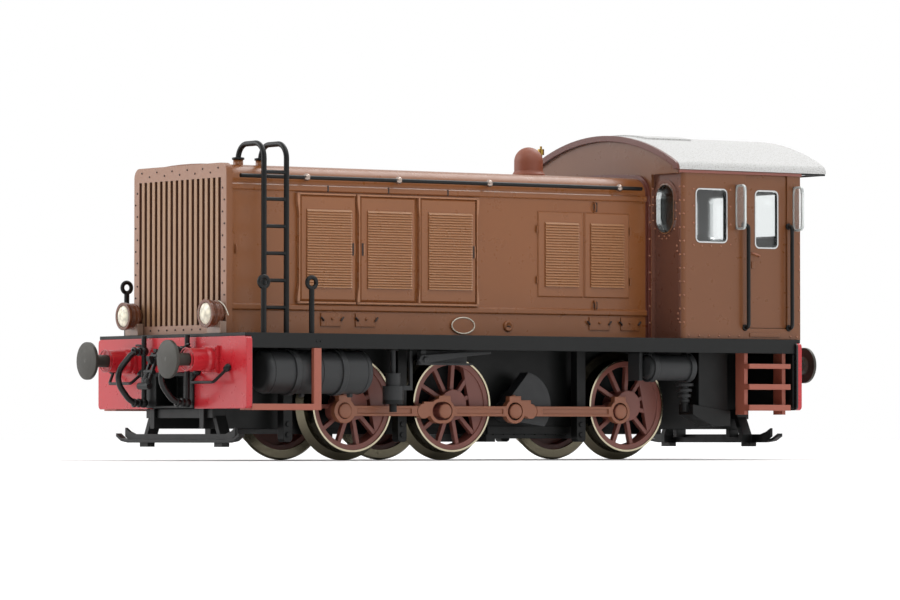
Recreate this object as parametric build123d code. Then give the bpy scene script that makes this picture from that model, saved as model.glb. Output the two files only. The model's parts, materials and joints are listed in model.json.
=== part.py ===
from build123d import *
import math
import os

os.makedirs("parts", exist_ok=True)

# Model diesel locomotive for 16.5 mm track, scale 1:87, in millimetres.
# +X is forward (radiator end), +Y the left side, +Z up. z = 0 is the bottom of the wheel flanges.

# Wheels and axles
tread_radius = 6.32
flange_height = 1.1
axle_z = tread_radius + flange_height
back_to_back = 14.3
wheel_width = 2.8
flange_width = 0.75
tyre_thickness = 0.25
tyre_seat = 0.01
axle_radius = 1.2
bearing_clearance = 0.05
wheel_back = back_to_back / 2
wheel_face = wheel_back + wheel_width
axle_x = (23.9, 7.8, -21.5)
jackshaft_x = -3.8
spoke_count = 11
spoke_width = 0.55
spoke_depth = 0.7
spoke_set_back = 0.35
rim_width = 0.7
hub_radius = 2.05
hub_proud = 0.4
counterweight_chord = 3.0
counterweight_turn = 8.5
counterweight_set_back = 0.3

# Cranks and coupling rods
crank_throw = 2.5
crank_angle_left = -20.0
crank_angle_right = crank_angle_left + 90.0
crank_boss_radius = 1.35
pin_radius = 1.0
rod_pin_clearance = 0.08
rod_hole_play = 0.22
long_hole_shift = 0.8
rod_gap = 0.4
rod_thickness = 0.9
rod_depth = 1.35
rod_boss_radius = 1.65
rod_flute_width = 0.7
rod_flute_depth = 0.2
oil_pot_width = 1.9
oil_pot_top = 2.05
knuckle_step_top = (1.25, 1.5)
knuckle_radius = 1.0
knuckle_pin_radius = 0.35
front_knuckle_offset = 3.4
rear_knuckle_offset = 2.6
sector_radius = 4.5
sector_half_angle = 60.0
sector_thickness = 1.9
rod_in = wheel_face + hub_proud + rod_gap
rod_out = rod_in + rod_thickness

# Frame, deck and beams
beam_front_x = 46.0
beam_rear_x = -45.6
beam_thickness = 0.9
beam_half_width = 18.35
beam_bottom = 6.8
beam_top = 16.15
beam_corner = 0.6
beam_cutout_half = 5.8
beam_cutout_top = 11.6
deck_top = 16.6
deck_thickness = deck_top - beam_top
deck_half_width = 18.0
valance_thickness = 0.8
valance_bottom = 14.65
frame_inner = 5.6
frame_thickness = 1.0
frame_bottom = 4.2
keeper_thickness = 0.7
keeper_x = (32.0, -30.0)
gear_block_bottom = 9.0
gear_case_x = (-0.2, -16.4)
gear_case_bottom = 2.9
gear_case_foot = (1.5, 2.45)
gear_case_ledge = (0.35, 4.2, 4.6)
# Brake hangers in the wheels' plane: front x, rear x
brake_hangers = ((34.6, 33.2), (16.35, 14.95), (-13.3, -14.75))
hanger_y = (8.2, 9.6)
hanger_bottom = 2.45
hanger_pin_radius = 0.35
hanger_pin_z = (3.4, 4.8)
beam_front_inner = beam_front_x - beam_thickness
beam_rear_inner = beam_rear_x + beam_thickness
deck_bottom = deck_top - deck_thickness

# Buffers and couplings
buffer_length = 7.1
buffer_y = 10.06
buffer_z = 13.17
buffer_head_radius = 2.5
buffer_head_thickness = 0.6
buffer_dome = 0.18
shank_radius = 0.83
sleeve_length = 3.7
sleeve_radius = 1.48
sleeve_flare = 1.65
buffer_flange = 3.6
buffer_flange_thickness = 0.4
rear_buffer_length = buffer_length + beam_front_x + beam_rear_x
pocket_inner_half = 3.4
pocket_inner_bottom = 7.2
pocket_inner_top = 11.1
pocket_depth = 3.0
hook_reach = 3.4
hose_radius = 0.4
hose_y = 5.35
hose_pipe_x = 0.85
hose_pipe_radius = 0.35
hose_bulge = 5.6
hose_bend = 2.4
coupling_tilt = 22.0
grip_radius = 0.2

# Rail guards
guard_x = (44.3, 44.7)
guard_flange_front = 45.15
guard_rear_shift = 0.5
guard_bottom = 2.35
guard_top = 3.5
guard_flange_thickness = 0.4
# Ski-shaped tips: half width and rise of each corner, for the flange and for the web
guard_flange_tip = ((12.2, 0.0), (13.9, 0.2), (15.2, 0.85))
guard_web_tip = ((11.3, 0.0), (12.6, 0.35), (13.6, 0.85))
guard_leg_x = (42.7, 44.3)
guard_leg_top = (7.35, 8.2)
guard_leg_bottom = (8.55, 9.4)
guard_knee_z = 5.9
guard_foot_x = (43.4, 44.5)
guard_foot_y = (8.2, 10.2)
guard_foot_bottom = 1.8
guard_cross_bottom = 5.6
guard_post_y = (5.65, 6.45)

# Hood
hood_half_width = 10.7
hood_front_x = beam_front_x - 2.3
hood_rear_x = -24.8
hood_moulding = (0.5, 0.45)
hood_shoulder_z = 36.25
hood_shoulder_radius = 2.5
hood_crown_z = 39.1
hood_wall = 0.8
grille_thickness = 1.0
grille_half_width = 11.35
grille_top = 38.85
grille_corner = 1.3
slot_count = 16
slot_field_half = 10.1
slot_width = 0.66
slot_bottom = 17.75
slot_top = 36.95
core_set_back = 1.4
strip_proud = 0.3
upper_strip = (35.4, 36.25)
lower_strip = (19.7, 20.55)

# Raised doors on the hood: name, front x, rear x, bottom z, top z, proud,
# louvre front x, louvre rear x, louvre bottom z, louvre top z, slat pitch
hood_doors = (
    ("a", 33.1, 24.0, 20.9, 35.05, 0.45, 32.0, 24.9, 22.75, 33.1, 0.345),
    ("b", 23.6, 14.4, 20.9, 35.05, 0.45, 22.35, 15.25, 22.75, 33.1, 0.345),
    ("c", 13.9, 4.5, 20.9, 35.05, 0.45, 12.5, 5.4, 22.75, 33.1, 0.345),
)
rear_door_leaves = (
    ("d", -5.8, -13.45, 22.1, 33.75, 0.2, -6.95, -12.6, 23.5, 32.3, 0.367),
    ("e", -13.65, -21.3, 22.1, 33.75, 0.2, -14.65, -20.3, 23.5, 32.3, 0.367),
)
slat_proud = 0.28
slat_root = 0.04
# Small hinged hatches low on the hood side: front x, rear x
hood_hatches = ((29.5, 26.3), (24.0, 20.9), (-14.5, -17.9), (-19.9, -23.0))
hatch_bottom = 17.7
hatch_top = 19.45
hatch_proud = 0.15
plate_x = 6.7
plate_z = 18.1
plate_half_length = 1.85
plate_half_height = 1.1

# Lamps
lamp_y = 10.2
lamp_z = 19.15
lamp_front_x = hood_front_x + 3.5
lamp_length = 2.2
lamp_radius = 1.65
lamp_rim_radius = 1.85
lamp_rim_thickness = 0.35
lens_radius = 1.45
lens_depth = 0.5
lamp_foot_half = 1.6
lamp_foot_x = (hood_front_x + 1.25, hood_front_x + 2.15)

# Exhaust, whistle, handrails, ladder and marker rods
exhaust_x = -12.1
exhaust_radius = 2.0
exhaust_rise = 4.0
exhaust_foot = (0.3, 0.7)
whistle_x = -16.4
whistle_y = -3.0
whistle_stem_radius = 0.2
whistle_bell_radius = 0.45
whistle_knob_radius = 0.16
# Heights above the hood's crown: bell bottom, bell top, knob top
whistle_rise = (3.2, 4.0, 4.4)
handrail_radius = 0.27
handrail_z = 37.2
handrail_y = 11.55
handrail_x = (hood_front_x - 1.1, -22.9)
knob_x = (32.25, 17.6, 2.8, -19.1)
knob_radius = 0.48
stem_radius = 0.18
ladder_y = 14.4
ladder_foot_y = 8.2
ladder_x = (hood_front_x - 2.9, hood_front_x - 6.4)
ladder_rail_radius = 0.36
rung_radius = 0.25
ladder_top = 41.4
first_rung_z = 19.95
rung_pitch = 3.53
rung_count = 6
marker_y = 16.9
marker_x = (42.45, 35.0)
marker_z = 23.2
marker_rod_radius = 0.36
marker_loop_radius = 0.7
marker_loop_section = 0.28

# Cab
cab_front_x = -25.5
cab_rear_x = -46.2
cab_half_width = 17.3
cab_wall = 0.8
cab_height = 23.15
eave_z = deck_top + cab_height
fascia_half = 11.3
fascia_bottom = eave_z - 0.55
fascia_rim = 0.5
roof_front_x = -24.3
roof_rear_x = -50.5
roof_half_width = cab_half_width + 0.4
roof_top_z = eave_z + 5.3
roof_shoulder_radius = 1.3
roof_shoulder_z = eave_z + 0.05
roof_thickness = 0.8
# Shallow raised panel on the roof: front x, rear x, half width, rise
roof_panel = (-27.2, -35.0, 7.0, 0.22)
# Openings in the cab side: front x, rear x, bottom z, top z, corner radius
side_window = (-27.8, -33.35, eave_z - 10.0, eave_z - 2.5, 0.75)
door_window = (-38.3, -42.45, eave_z - 10.6, eave_z - 2.5, 0.75)
door = (-36.6, -43.9, 18.1, eave_z - 0.35, 0.3)
door_clearance = 0.05
door_set_in = 0.2
cab_corner = 0.75
# Openings in the end walls: inner y, outer y, bottom z, top z, corner radius
front_window = (cab_half_width - 5.7, cab_half_width - 1.55, eave_z - 8.8, eave_z - 1.8, 2.07)
rear_window = (5.0, cab_half_width - 3.5, eave_z - 8.8, eave_z - 2.6, 0.9)
rear_middle_window = (-2.6, 2.6, eave_z - 8.8, eave_z - 2.6, 0.9)
window_frame = 0.2
window_frame_proud = 0.06
eyebrow = (0.55, 0.22)
pane_thickness = 0.3
deflector_x = (-34.95, -45.05)
deflector_reach = 2.05
deflector_thickness = 0.35
deflector_z = (eave_z - 8.1, eave_z - 1.9)
cab_rail_x = (-36.4, -44.1)
cab_rail_z = (18.2, eave_z - 7.45)
cab_rail_y = cab_half_width + 0.85
cab_floor_top = 17.4

# Under the deck
tank_x = (41.9, 25.4)
tank_y = 14.75
tank_z = 11.6
tank_radius = 2.85
tank_dome = 0.8
tank_strap_x = (37.4, 30.1)
strap_width = 0.8
strap_thickness = 0.25
small_tank_x = (-20.9, -29.0)
small_tank_y = 14.9
small_tank_z = 12.6
small_tank_radius = 1.75
small_tank_strap_x = (-21.7, -28.0)
tank_bracket = (-20.0, -20.5, 12.3, 14.9, 10.8)
brake_x = 20.0
brake_y = 13.75
pipe_x = (14.5, 5.0)
pipe_y = 15.0
pipe_z = 13.8
pipe_radius = 0.5
step_x = (34.4, 35.55)
step_tread_y = (15.4, 18.3)
step_tread_z = (6.6, 7.4)
step_bar_y = 17.7
rear_step_x = (-36.4, -43.65)
rear_stringer = 0.6
rear_stringer_y = (15.2, 17.15)
rear_stringer_bottom = 6.2
rear_tread_z = ((12.55, 13.2), (9.65, 10.4), (6.75, 7.55))

# Sandbox ahead of the rear steps: body, slanted foot outline and the ringed feed in front of it
sandbox_x = (-30.6, -35.6)
sandbox_y = (11.7, 14.4)
sandbox_bottom = 6.6
sandbox_foot = ((-29.4, 7.6), (-29.4, 6.2), (-30.4, 5.7), (-33.0, 4.6), (-35.9, 4.6), (-35.9, 6.7))
sandbox_foot_proud = 0.25
feed_x = -29.2
feed_y = 13.0
feed_core_radius = 0.55
feed_top = 10.5
feed_ring_radius = 1.25
feed_ring_taper = 0.18
feed_ring_pitch = 0.75
feed_rings = 4

# Motor and weight block inside the hood
motor_x = (hood_front_x - 5.7, -20.0)
motor_half_width = 8.0
motor_top = 34.0


def box(x0, x1, y0, y1, z0, z1):
    lx, ly, lz = abs(x1 - x0), abs(y1 - y0), abs(z1 - z0)
    return Pos((x0 + x1) / 2, (y0 + y1) / 2, (z0 + z1) / 2) * Box(lx, ly, lz)


def rod_x(radius, x0, x1, y, z):
    return Pos((x0 + x1) / 2, y, z) * Rot(0, 90, 0) * Cylinder(radius, abs(x1 - x0))


def rod_y(radius, x, y0, y1, z):
    return Pos(x, (y0 + y1) / 2, z) * Rot(90, 0, 0) * Cylinder(radius, abs(y1 - y0))


def rod_z(radius, x, y, z0, z1):
    return Pos(x, y, (z0 + z1) / 2) * Cylinder(radius, abs(z1 - z0))


def left_and_right(shape):
    return shape + mirror(shape, about=Plane.XZ)


def both_sides(shape):
    return [shape, mirror(shape, about=Plane.XZ)]


def rounded_panel(a0, a1, b0, b1, radius):
    """Rounded rectangle face in local x, y with its corners at (a0, b0) and (a1, b1)."""
    width, height = abs(a1 - a0), abs(b1 - b0)
    radius = min(radius, 0.499 * min(width, height))
    return Pos((a0 + a1) / 2, (b0 + b1) / 2) * RectangleRounded(width, height, radius)


def side_block(window, y0, y1, grow=0.0):
    """Rounded block through the side wall, from y0 to y1."""
    x0, x1, z0, z1, radius = window
    face = rounded_panel(x1 - grow, x0 + grow, z0 - grow, z1 + grow, radius + grow)
    plane = Plane(origin=(0, y1, 0), x_dir=(1, 0, 0), z_dir=(0, -1, 0))
    return extrude(plane * face, y1 - y0)


def end_block(window, x0, x1, grow=0.0):
    """Rounded block through an end wall, from x0 to x1."""
    y0, y1, z0, z1, radius = window
    face = rounded_panel(y0 - grow, y1 + grow, z0 - grow, z1 + grow, radius + grow)
    plane = Plane(origin=(x0, 0, 0), x_dir=(0, 1, 0), z_dir=(1, 0, 0))
    return extrude(plane * face, x1 - x0)


def write(name, *shapes):
    solids = [s for shape in shapes for s in shape.solids()]
    part = solids[0] if len(solids) == 1 else Compound(children=solids)
    part.label = name
    export_step(part, f"parts/{name}.step")


def crank_pin(x, angle):
    turn = math.radians(angle)
    return x + crank_throw * math.cos(turn), axle_z + crank_throw * math.sin(turn)


def ring_y(outer, inner, y0, y1, x=0.0, z=axle_z):
    return rod_y(outer, x, y0, y1, z) - rod_y(inner, x, y0 - 1, y1 + 1, z)


# Wheels

def tyre(x):
    bore = tread_radius - tyre_thickness
    coned = 0.12
    profile = Polyline(
        (bore, wheel_back),
        (tread_radius + flange_height - 0.25, wheel_back),
        (tread_radius + flange_height, wheel_back + 0.3),
        (tread_radius + coned, wheel_back + flange_width),
        (tread_radius, wheel_face),
        (bore, wheel_face),
        (bore, wheel_back),
    )
    ring = revolve(make_face(profile), Axis.Y)
    return Pos(x, 0, axle_z) * ring


def wheel_centre(x, angle):
    """Spoked centre of the left wheel with its crank pin at the given angle."""
    rim_outer = tread_radius - tyre_thickness - tyre_seat
    rim_inner = rim_outer - rim_width
    spoke_front = wheel_face - spoke_set_back
    spoke_back = spoke_front - spoke_depth
    hub_face = wheel_face + hub_proud
    centre = ring_y(rim_outer, rim_inner, wheel_back + 0.3, wheel_face - 0.15)
    centre += rod_y(hub_radius, 0, wheel_back, hub_face, axle_z)
    for k in range(spoke_count):
        turn = angle + 360.0 * (k + 0.5) / spoke_count
        spoke = box(hub_radius - 0.5, rim_inner + 0.2, spoke_back, spoke_front,
                    -spoke_width / 2, spoke_width / 2)
        centre += Pos(0, 0, axle_z) * Rot(0, -turn, 0) * spoke
    weight = rod_y(rim_inner + 0.1, 0, spoke_back, wheel_face - counterweight_set_back, 0)
    reach = 2 * tread_radius
    weight -= box(-counterweight_chord, reach, spoke_back - 1, wheel_face + 1, -reach, reach)
    centre += Pos(0, 0, axle_z) * Rot(0, -angle - counterweight_turn, 0) * weight
    pin_x, pin_z = crank_pin(0, angle)
    centre += rod_y(crank_boss_radius, pin_x, spoke_back, hub_face, pin_z)
    centre += rod_y(pin_radius, pin_x, hub_face - 0.1, rod_out + 0.1, pin_z)
    return Pos(x, 0, 0) * centre


def wheelset(number, x):
    right = mirror(wheel_centre(x, crank_angle_right), about=Plane.XZ)
    write(f"wheel_centres_{number}", wheel_centre(x, crank_angle_left), right)
    write(f"tyres_{number}", tyre(x), mirror(tyre(x), about=Plane.XZ))
    write(f"axle_{number}", rod_y(axle_radius, x, -wheel_back, wheel_back, axle_z))


def jackshaft_crank(angle):
    inner = wheel_back
    web_in = wheel_face + hub_proud - sector_thickness
    web_out = wheel_face + hub_proud
    crank = rod_y(hub_radius, 0, inner, web_out, axle_z)
    start = angle + 180.0 - sector_half_angle
    plane = Plane(origin=(0, web_out, 0), x_dir=(1, 0, 0), z_dir=(0, -1, 0))
    edge_a = math.radians(start)
    edge_b = math.radians(start + 2 * sector_half_angle)
    tip_a = (sector_radius * math.cos(edge_a), sector_radius * math.sin(edge_a))
    tip_b = (sector_radius * math.cos(edge_b), sector_radius * math.sin(edge_b))
    pin_x, pin_z = crank_pin(0, angle)
    boss_x, boss_y = pin_x, pin_z - axle_z
    side = math.radians(angle + 90.0)
    across_x, across_y = crank_boss_radius * math.cos(side), crank_boss_radius * math.sin(side)
    outline = CenterArc((0, 0), sector_radius, start, 2 * sector_half_angle)
    outline += Polyline(tip_b, (boss_x - across_x, boss_y - across_y),
                        (boss_x + across_x, boss_y + across_y), tip_a)
    sector = extrude(plane * make_face(outline), sector_thickness)
    crank += Pos(0, 0, axle_z) * sector
    crank += rod_y(crank_boss_radius, pin_x, web_in, web_out, pin_z)
    crank += rod_y(pin_radius, pin_x, web_out - 0.1, rod_out + 0.1, pin_z)
    return Pos(jackshaft_x, 0, 0) * crank


def jackshaft():
    right = mirror(jackshaft_crank(crank_angle_right), about=Plane.XZ)
    write("jackshaft_cranks", jackshaft_crank(crank_angle_left), right)
    write("jackshaft", rod_y(axle_radius, jackshaft_x, -wheel_back, wheel_back, axle_z))


# Coupling rods, in three lengths joined by lapped knuckles

def rod_layer(outline, y0, y1):
    plane = Plane(origin=(0, y1, 0), x_dir=(1, 0, 0), z_dir=(0, -1, 0))
    return extrude(plane * outline, y1 - y0)


def rod_bar(x0, x1):
    return Pos((x0 + x1) / 2, 0) * Rectangle(abs(x1 - x0), rod_depth)


def rod_eye(x, shift=0.0):
    """Eye outline with its oil pot; a shift lengthens it towards the front."""
    pot_bottom = rod_boss_radius * 0.7
    pot = Rectangle(oil_pot_width, oil_pot_top - pot_bottom)
    eye = Pos(x, 0) * Circle(rod_boss_radius) + Pos(x, (oil_pot_top + pot_bottom) / 2) * pot
    if shift:
        eye += Pos(x + shift, 0) * Circle(rod_boss_radius)
        eye += Pos(x + shift / 2, 0) * Rectangle(shift, 2 * rod_boss_radius)
    return eye


def rod_piece(inner, outer, flutes, bores):
    """One rod length from its inner and outer half outlines; bores holds x and hole radius."""
    half = (rod_in + rod_out) / 2
    piece = rod_layer(inner, rod_in, half) + rod_layer(outer, half, rod_out)
    for x0, x1 in flutes:
        piece -= box(x0, x1, rod_out - rod_flute_depth, rod_out + 1,
                     -rod_flute_width / 2, rod_flute_width / 2)
    for x, radius in bores:
        piece -= rod_y(radius, x, rod_in - 1, rod_out + 1, 0)
    return piece


def coupling_rods(side, angle):
    half = (rod_in + rod_out) / 2
    lap_gap = 0.08
    pins = [crank_pin(x, angle) for x in (axle_x[0], axle_x[1], jackshaft_x, axle_x[2])]
    x1, x2, xj, x3 = (p[0] for p in pins)
    z = pins[0][1]
    front_k = x2 + front_knuckle_offset
    rear_k = xj - rear_knuckle_offset
    knuckle_f = Pos(front_k, 0) * Circle(knuckle_radius)
    knuckle_r = Pos(rear_k, 0) * Circle(knuckle_radius)
    room_f = Pos(front_k, 0) * Circle(knuckle_radius + lap_gap)
    room_r = Pos(rear_k, 0) * Circle(knuckle_radius + lap_gap)
    knuckle_hole = knuckle_pin_radius + bearing_clearance
    tight = pin_radius + rod_pin_clearance
    loose = pin_radius + rod_hole_play
    flute_end = rod_boss_radius + 0.35
    front_step, rear_step = knuckle_step_top
    step_f = Pos((x2 + front_k) / 2, front_step / 2) * Rectangle(front_k - x2, front_step)
    step_r = Pos((xj + rear_k) / 2, rear_step / 2) * Rectangle(xj - rear_k, rear_step)
    long_hole = box(x2, x2 + long_hole_shift, rod_in - 1, rod_out + 1, -loose, loose)
    long_hole += rod_y(loose, x2 + long_hole_shift, rod_in - 1, rod_out + 1, 0)

    front_bar = rod_eye(x1) + rod_bar(x1, front_k)
    lap_face = rod_y(knuckle_radius + lap_gap, front_k, half - lap_gap, half + 0.01, 0)
    front = rod_piece(front_bar + knuckle_f, front_bar - rod_bar(front_k, front_k + 0.6) - room_f,
                      [(front_k + flute_end, x1 - flute_end)], [(x1, tight), (front_k, knuckle_hole)])
    front -= lap_face

    middle_bar = rod_eye(x2, long_hole_shift) + rod_eye(xj) + rod_bar(rear_k, front_k)
    ends_cut = rod_bar(front_k - 0.6, front_k) + rod_bar(rear_k, rear_k + 0.6)
    middle_outer = middle_bar + knuckle_f + knuckle_r + step_f + step_r
    middle = rod_piece(middle_bar - ends_cut - room_f - room_r, middle_outer,
                       [(xj + flute_end, x2 - flute_end)], [(x2, loose), (xj, loose)])
    middle -= long_hole
    for x in (front_k, rear_k):
        middle += rod_y(knuckle_pin_radius, x, rod_in, half + 0.1, 0)

    rear_bar = rod_eye(x3) + rod_bar(x3, rear_k)
    rear = rod_piece(rear_bar + knuckle_r, rear_bar - rod_bar(rear_k - 0.6, rear_k) - room_r,
                     [(x3 + flute_end, rear_k - flute_end)], [(x3, loose), (rear_k, knuckle_hole)])
    rear -= rod_y(knuckle_radius + lap_gap, rear_k, half - lap_gap, half + 0.01, 0)

    rods = [Pos(0, 0, z) * piece for piece in (front, middle, rear)]
    if side == "right":
        rods = [mirror(piece, about=Plane.XZ) for piece in rods]
    write(f"{side}_coupling_rods", *rods)


# Frame and deck

def frame_plates():
    plate = box(beam_rear_inner, beam_front_inner, frame_inner, frame_inner + frame_thickness,
                frame_bottom, deck_bottom)
    for x in (*axle_x, jackshaft_x):
        plate -= rod_y(axle_radius + bearing_clearance, x, 0, 20, axle_z)
    write("frame_plates", plate, mirror(plate, about=Plane.XZ))


def keeper_and_gear_block():
    outer = frame_inner + frame_thickness
    keeper_bottom = frame_bottom - keeper_thickness
    keeper = box(*keeper_x, -outer, outer, keeper_bottom, frame_bottom)
    front, rear = gear_case_x
    foot_length, foot_bottom = gear_case_foot
    keeper += box(front, rear, -outer, outer, gear_case_bottom, keeper_bottom)
    keeper += box(front, front - foot_length, -outer, outer, foot_bottom, gear_case_bottom)
    proud, low, high = gear_case_ledge
    ledge = box(front, rear, outer, outer + proud, low, high)
    keeper += box(front, rear, -outer - proud, outer + proud, keeper_bottom, low) + left_and_right(ledge)
    block = box(*keeper_x, -frame_inner, frame_inner, gear_block_bottom, deck_bottom)
    write("keeper_plate", keeper)
    write("gear_block", block)


def brake_gear():
    """Hangers beside the wheel treads, hung from the deck, each with two pin heads."""
    hangers = []
    for x0, x1 in brake_hangers:
        hanger = box(x0, x1, *hanger_y, hanger_bottom, deck_bottom)
        hanger = fillet(hanger.edges().filter_by(Axis.Y).group_by(Axis.Z)[0], 0.5)
        for z in hanger_pin_z:
            hanger += rod_y(hanger_pin_radius, (x0 + x1) / 2, hanger_y[1] - 0.1, hanger_y[1] + 0.2, z)
        hangers.append(hanger)
    write("brake_hangers", *hangers, *[mirror(h, about=Plane.XZ) for h in hangers])


def deck():
    plate = box(beam_rear_x, beam_front_x, -deck_half_width, deck_half_width, deck_bottom, deck_top)
    valance = box(beam_rear_inner, beam_front_inner, deck_half_width - valance_thickness,
                  deck_half_width, valance_bottom, deck_bottom)
    write("running_deck", plate + left_and_right(valance))


def beam(x0, x1):
    face = rounded_panel(-beam_half_width, beam_half_width, beam_bottom, beam_top, beam_corner)
    plane = Plane(origin=(x0, 0, 0), x_dir=(0, 1, 0), z_dir=(1, 0, 0))
    plate = extrude(plane * face, x1 - x0)
    return plate - box(x0 - 1, x1 + 1, -beam_cutout_half, beam_cutout_half, 0, beam_cutout_top)


def buffer_sleeve(length):
    """Left sleeve on a beam face at x = 0, pointing along +X."""
    flange = box(0, buffer_flange_thickness, buffer_y - buffer_flange / 2,
                 buffer_y + buffer_flange / 2, buffer_z - buffer_flange / 2,
                 buffer_z + buffer_flange / 2)
    reach = sleeve_length + length - buffer_length
    outline = Polyline((0, 0), (sleeve_flare, 0), (sleeve_flare, 1.0), (sleeve_radius, 1.4),
                       (sleeve_radius, reach), (0, reach), (0, 0))
    body = revolve(make_face(Plane.XZ * outline), Axis.Z)
    body = Pos(0, buffer_y, buffer_z) * Rot(0, 90, 0) * body
    return flange + body


def buffer_head(length):
    """Left plunger and head with a shallow dome, starting at the sleeve's mouth."""
    reach = sleeve_length + length - buffer_length
    disc_back = length - buffer_head_thickness
    dome = [(buffer_head_radius * f, length - buffer_dome * f ** 2) for f in (1.0, 0.75, 0.45)]
    outline = Polyline((0, reach), (shank_radius, reach), (shank_radius, disc_back - 0.4),
                       (shank_radius + 0.4, disc_back), (buffer_head_radius, disc_back), *dome,
                       (0, length), (0, reach))
    body = revolve(make_face(Plane.XZ * outline), Axis.Z)
    return Pos(0, buffer_y, buffer_z) * Rot(0, 90, 0) * body


def coupler_pocket():
    """Black frame in the cut-out of the beam whose face is at x = 0, with its shaft opening."""
    gap = 0.05
    frame = box(-beam_thickness - pocket_depth, 0.2, -beam_cutout_half + gap, beam_cutout_half - gap,
                beam_bottom + 0.1, beam_cutout_top - gap)
    frame -= box(-beam_thickness - pocket_depth + 0.8, 1, -pocket_inner_half, pocket_inner_half,
                 pocket_inner_bottom, pocket_inner_top)
    lower = frame_inner + frame_thickness
    back = -beam_thickness - pocket_depth - 1
    frame -= left_and_right(box(back, -beam_thickness, frame_inner, lower, 0, deck_top))
    return frame


def draw_hook():
    """Hook on the beam face at x = 0, with the hanging shackle of the screw coupling."""
    hook_z = buffer_z + 0.4
    shank = box(0, hook_reach - 0.8, -0.4, 0.4, hook_z - 0.45, hook_z + 0.45)
    plate = box(0, 0.3, -1.3, 1.3, hook_z - 1.3, hook_z + 1.3)
    eye = rod_y(1.1, hook_reach - 0.9, -0.4, 0.4, hook_z)
    eye -= rod_y(0.5, hook_reach - 0.9, -1, 1, hook_z + 0.15)
    eye -= box(hook_reach - 0.9, hook_reach + 1, -1, 1, hook_z + 0.15, hook_z + 3)
    links = left_and_right(box(-0.2, 0.2, 0.42, 0.82, -4.2, 0.5))
    links += rod_y(0.3, 0, -0.82, 0.82, 0)
    links += rod_y(0.45, 0, -1.3, 1.3, -4.2)
    links += rod_y(0.3, 0, -1.1, 1.1, -2.2)
    links += rod_z(0.32, 0, 0, -4.2, -2.2)
    hung = Pos(hook_reach - 0.9, 0, hook_z + 0.1) * Rot(0, -coupling_tilt, 0) * links
    return shank + plate + eye, hung


def hose():
    """Air pipe standing in front of a beam face at x = 0, with its hose looped down to a holder."""
    high, low = 14.4, 7.6
    near = hose_pipe_x
    points = ((near, high), (near + 1.6, high), (hose_bulge, 11.0), (near + 2.0, low), (near, low))
    path = FilletPolyline(*[(x, hose_y, z) for x, z in points], radius=hose_bend)
    start = Plane(origin=path @ 0, z_dir=path % 0)
    tube = sweep(start * Circle(hose_radius), path=path)
    for z in (high, low):
        tube += rod_x(hose_radius + 0.15, near - 0.2, near + 0.9, hose_y, z)
    pipe = rod_z(hose_pipe_radius, near, hose_y, low - 0.6, deck_bottom + 0.3)
    bracket = box(0, near, hose_y - 0.35, hose_y + 0.35, 12.2, 12.7)
    return tube + pipe + bracket


def grip():
    """Shunter's grip below a buffer on a beam face at x = 0."""
    points = ((0, 6.9, 11.7), (1.6, 7.4, 10.2), (1.6, 12.9, 10.2), (0, 14.2, 12.2))
    path = FilletPolyline(*points, radius=0.5)
    start = Plane(origin=path @ 0, z_dir=path % 0)
    wire = sweep(start * Circle(grip_radius), path=path)
    return wire - box(-5, 0, -20, 20, 0, 20)


def ends():
    hook, links = draw_hook()
    sleeve, head = buffer_sleeve(buffer_length), buffer_head(buffer_length)
    rear_sleeve, rear_head = buffer_sleeve(rear_buffer_length), buffer_head(rear_buffer_length)
    pieces = (
        ("beams", [beam(-beam_thickness, 0)], None),
        ("buffer_sleeves", both_sides(sleeve), both_sides(rear_sleeve)),
        ("buffer_heads", both_sides(head), both_sides(rear_head)),
        ("coupler_pockets", [coupler_pocket()], None),
        ("draw_hooks", [hook], None),
        ("screw_couplings", [links - hook], None),
        ("air_hoses", both_sides(hose()), None),
        ("shunting_grips", both_sides(grip()), None),
    )
    for name, at_front, at_rear in pieces:
        front = [Pos(beam_front_x, 0, 0) * shape for shape in at_front]
        rear = [Pos(beam_rear_x, 0, 0) * mirror(shape, about=Plane.YZ) for shape in at_rear or at_front]
        write(name, *front, *rear)


def tip_band(tip, low, high):
    """Closed Y-Z outline of a band with both ends curled up along the tip's corners."""
    lower = [(half, low + rise) for half, rise in tip]
    upper = [(half, high + rise) for half, rise in reversed(tip)]
    right = lower + upper
    left = [(-half, z) for half, z in reversed(right)]
    return make_face(Polyline(*right, *left, right[0]))


def rail_guard():
    """Transverse bar near the rail at the front end: web, flange, two bent legs and two feet."""
    low, high = guard_bottom, guard_top
    bar = across(tip_band(guard_web_tip, low, high), *guard_x)
    bar += across(tip_band(guard_flange_tip, low, low + guard_flange_thickness),
                  guard_x[0], guard_flange_front)
    (top_in, top_out), (low_in, low_out) = guard_leg_top, guard_leg_bottom
    leg = Polyline((top_in, beam_bottom), (top_out, beam_bottom), (top_out, guard_knee_z), (low_out, high),
                   (low_out, low), (low_in, low), (low_in, high), (top_in, guard_knee_z),
                   (top_in, beam_bottom))
    legs = across(make_face(leg), *guard_leg_x)
    foot = box(*guard_foot_x, *guard_foot_y, guard_foot_bottom, low)
    cross = box(guard_leg_x[0], guard_x[1], -guard_leg_top[1], guard_leg_top[1], guard_cross_bottom,
                beam_bottom)
    return bar + left_and_right(legs + foot) + cross


def rail_guards():
    plates = box(beam_rear_inner - 1, beam_front_inner + 1, frame_inner,
                 frame_inner + frame_thickness, frame_bottom, deck_bottom)
    front = rail_guard() - left_and_right(plates)
    posts = left_and_right(box(*guard_leg_x, *guard_post_y, guard_top, frame_bottom))
    posts += left_and_right(box(guard_leg_x[0], guard_x[1], *guard_post_y, guard_top - 0.4, guard_top))
    rear = mirror(rail_guard() + posts, about=Plane.YZ)
    rear = Pos(guard_rear_shift, 0, 0) * rear
    write("rail_guards", front, rear - left_and_right(plates))


# Hood

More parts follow.
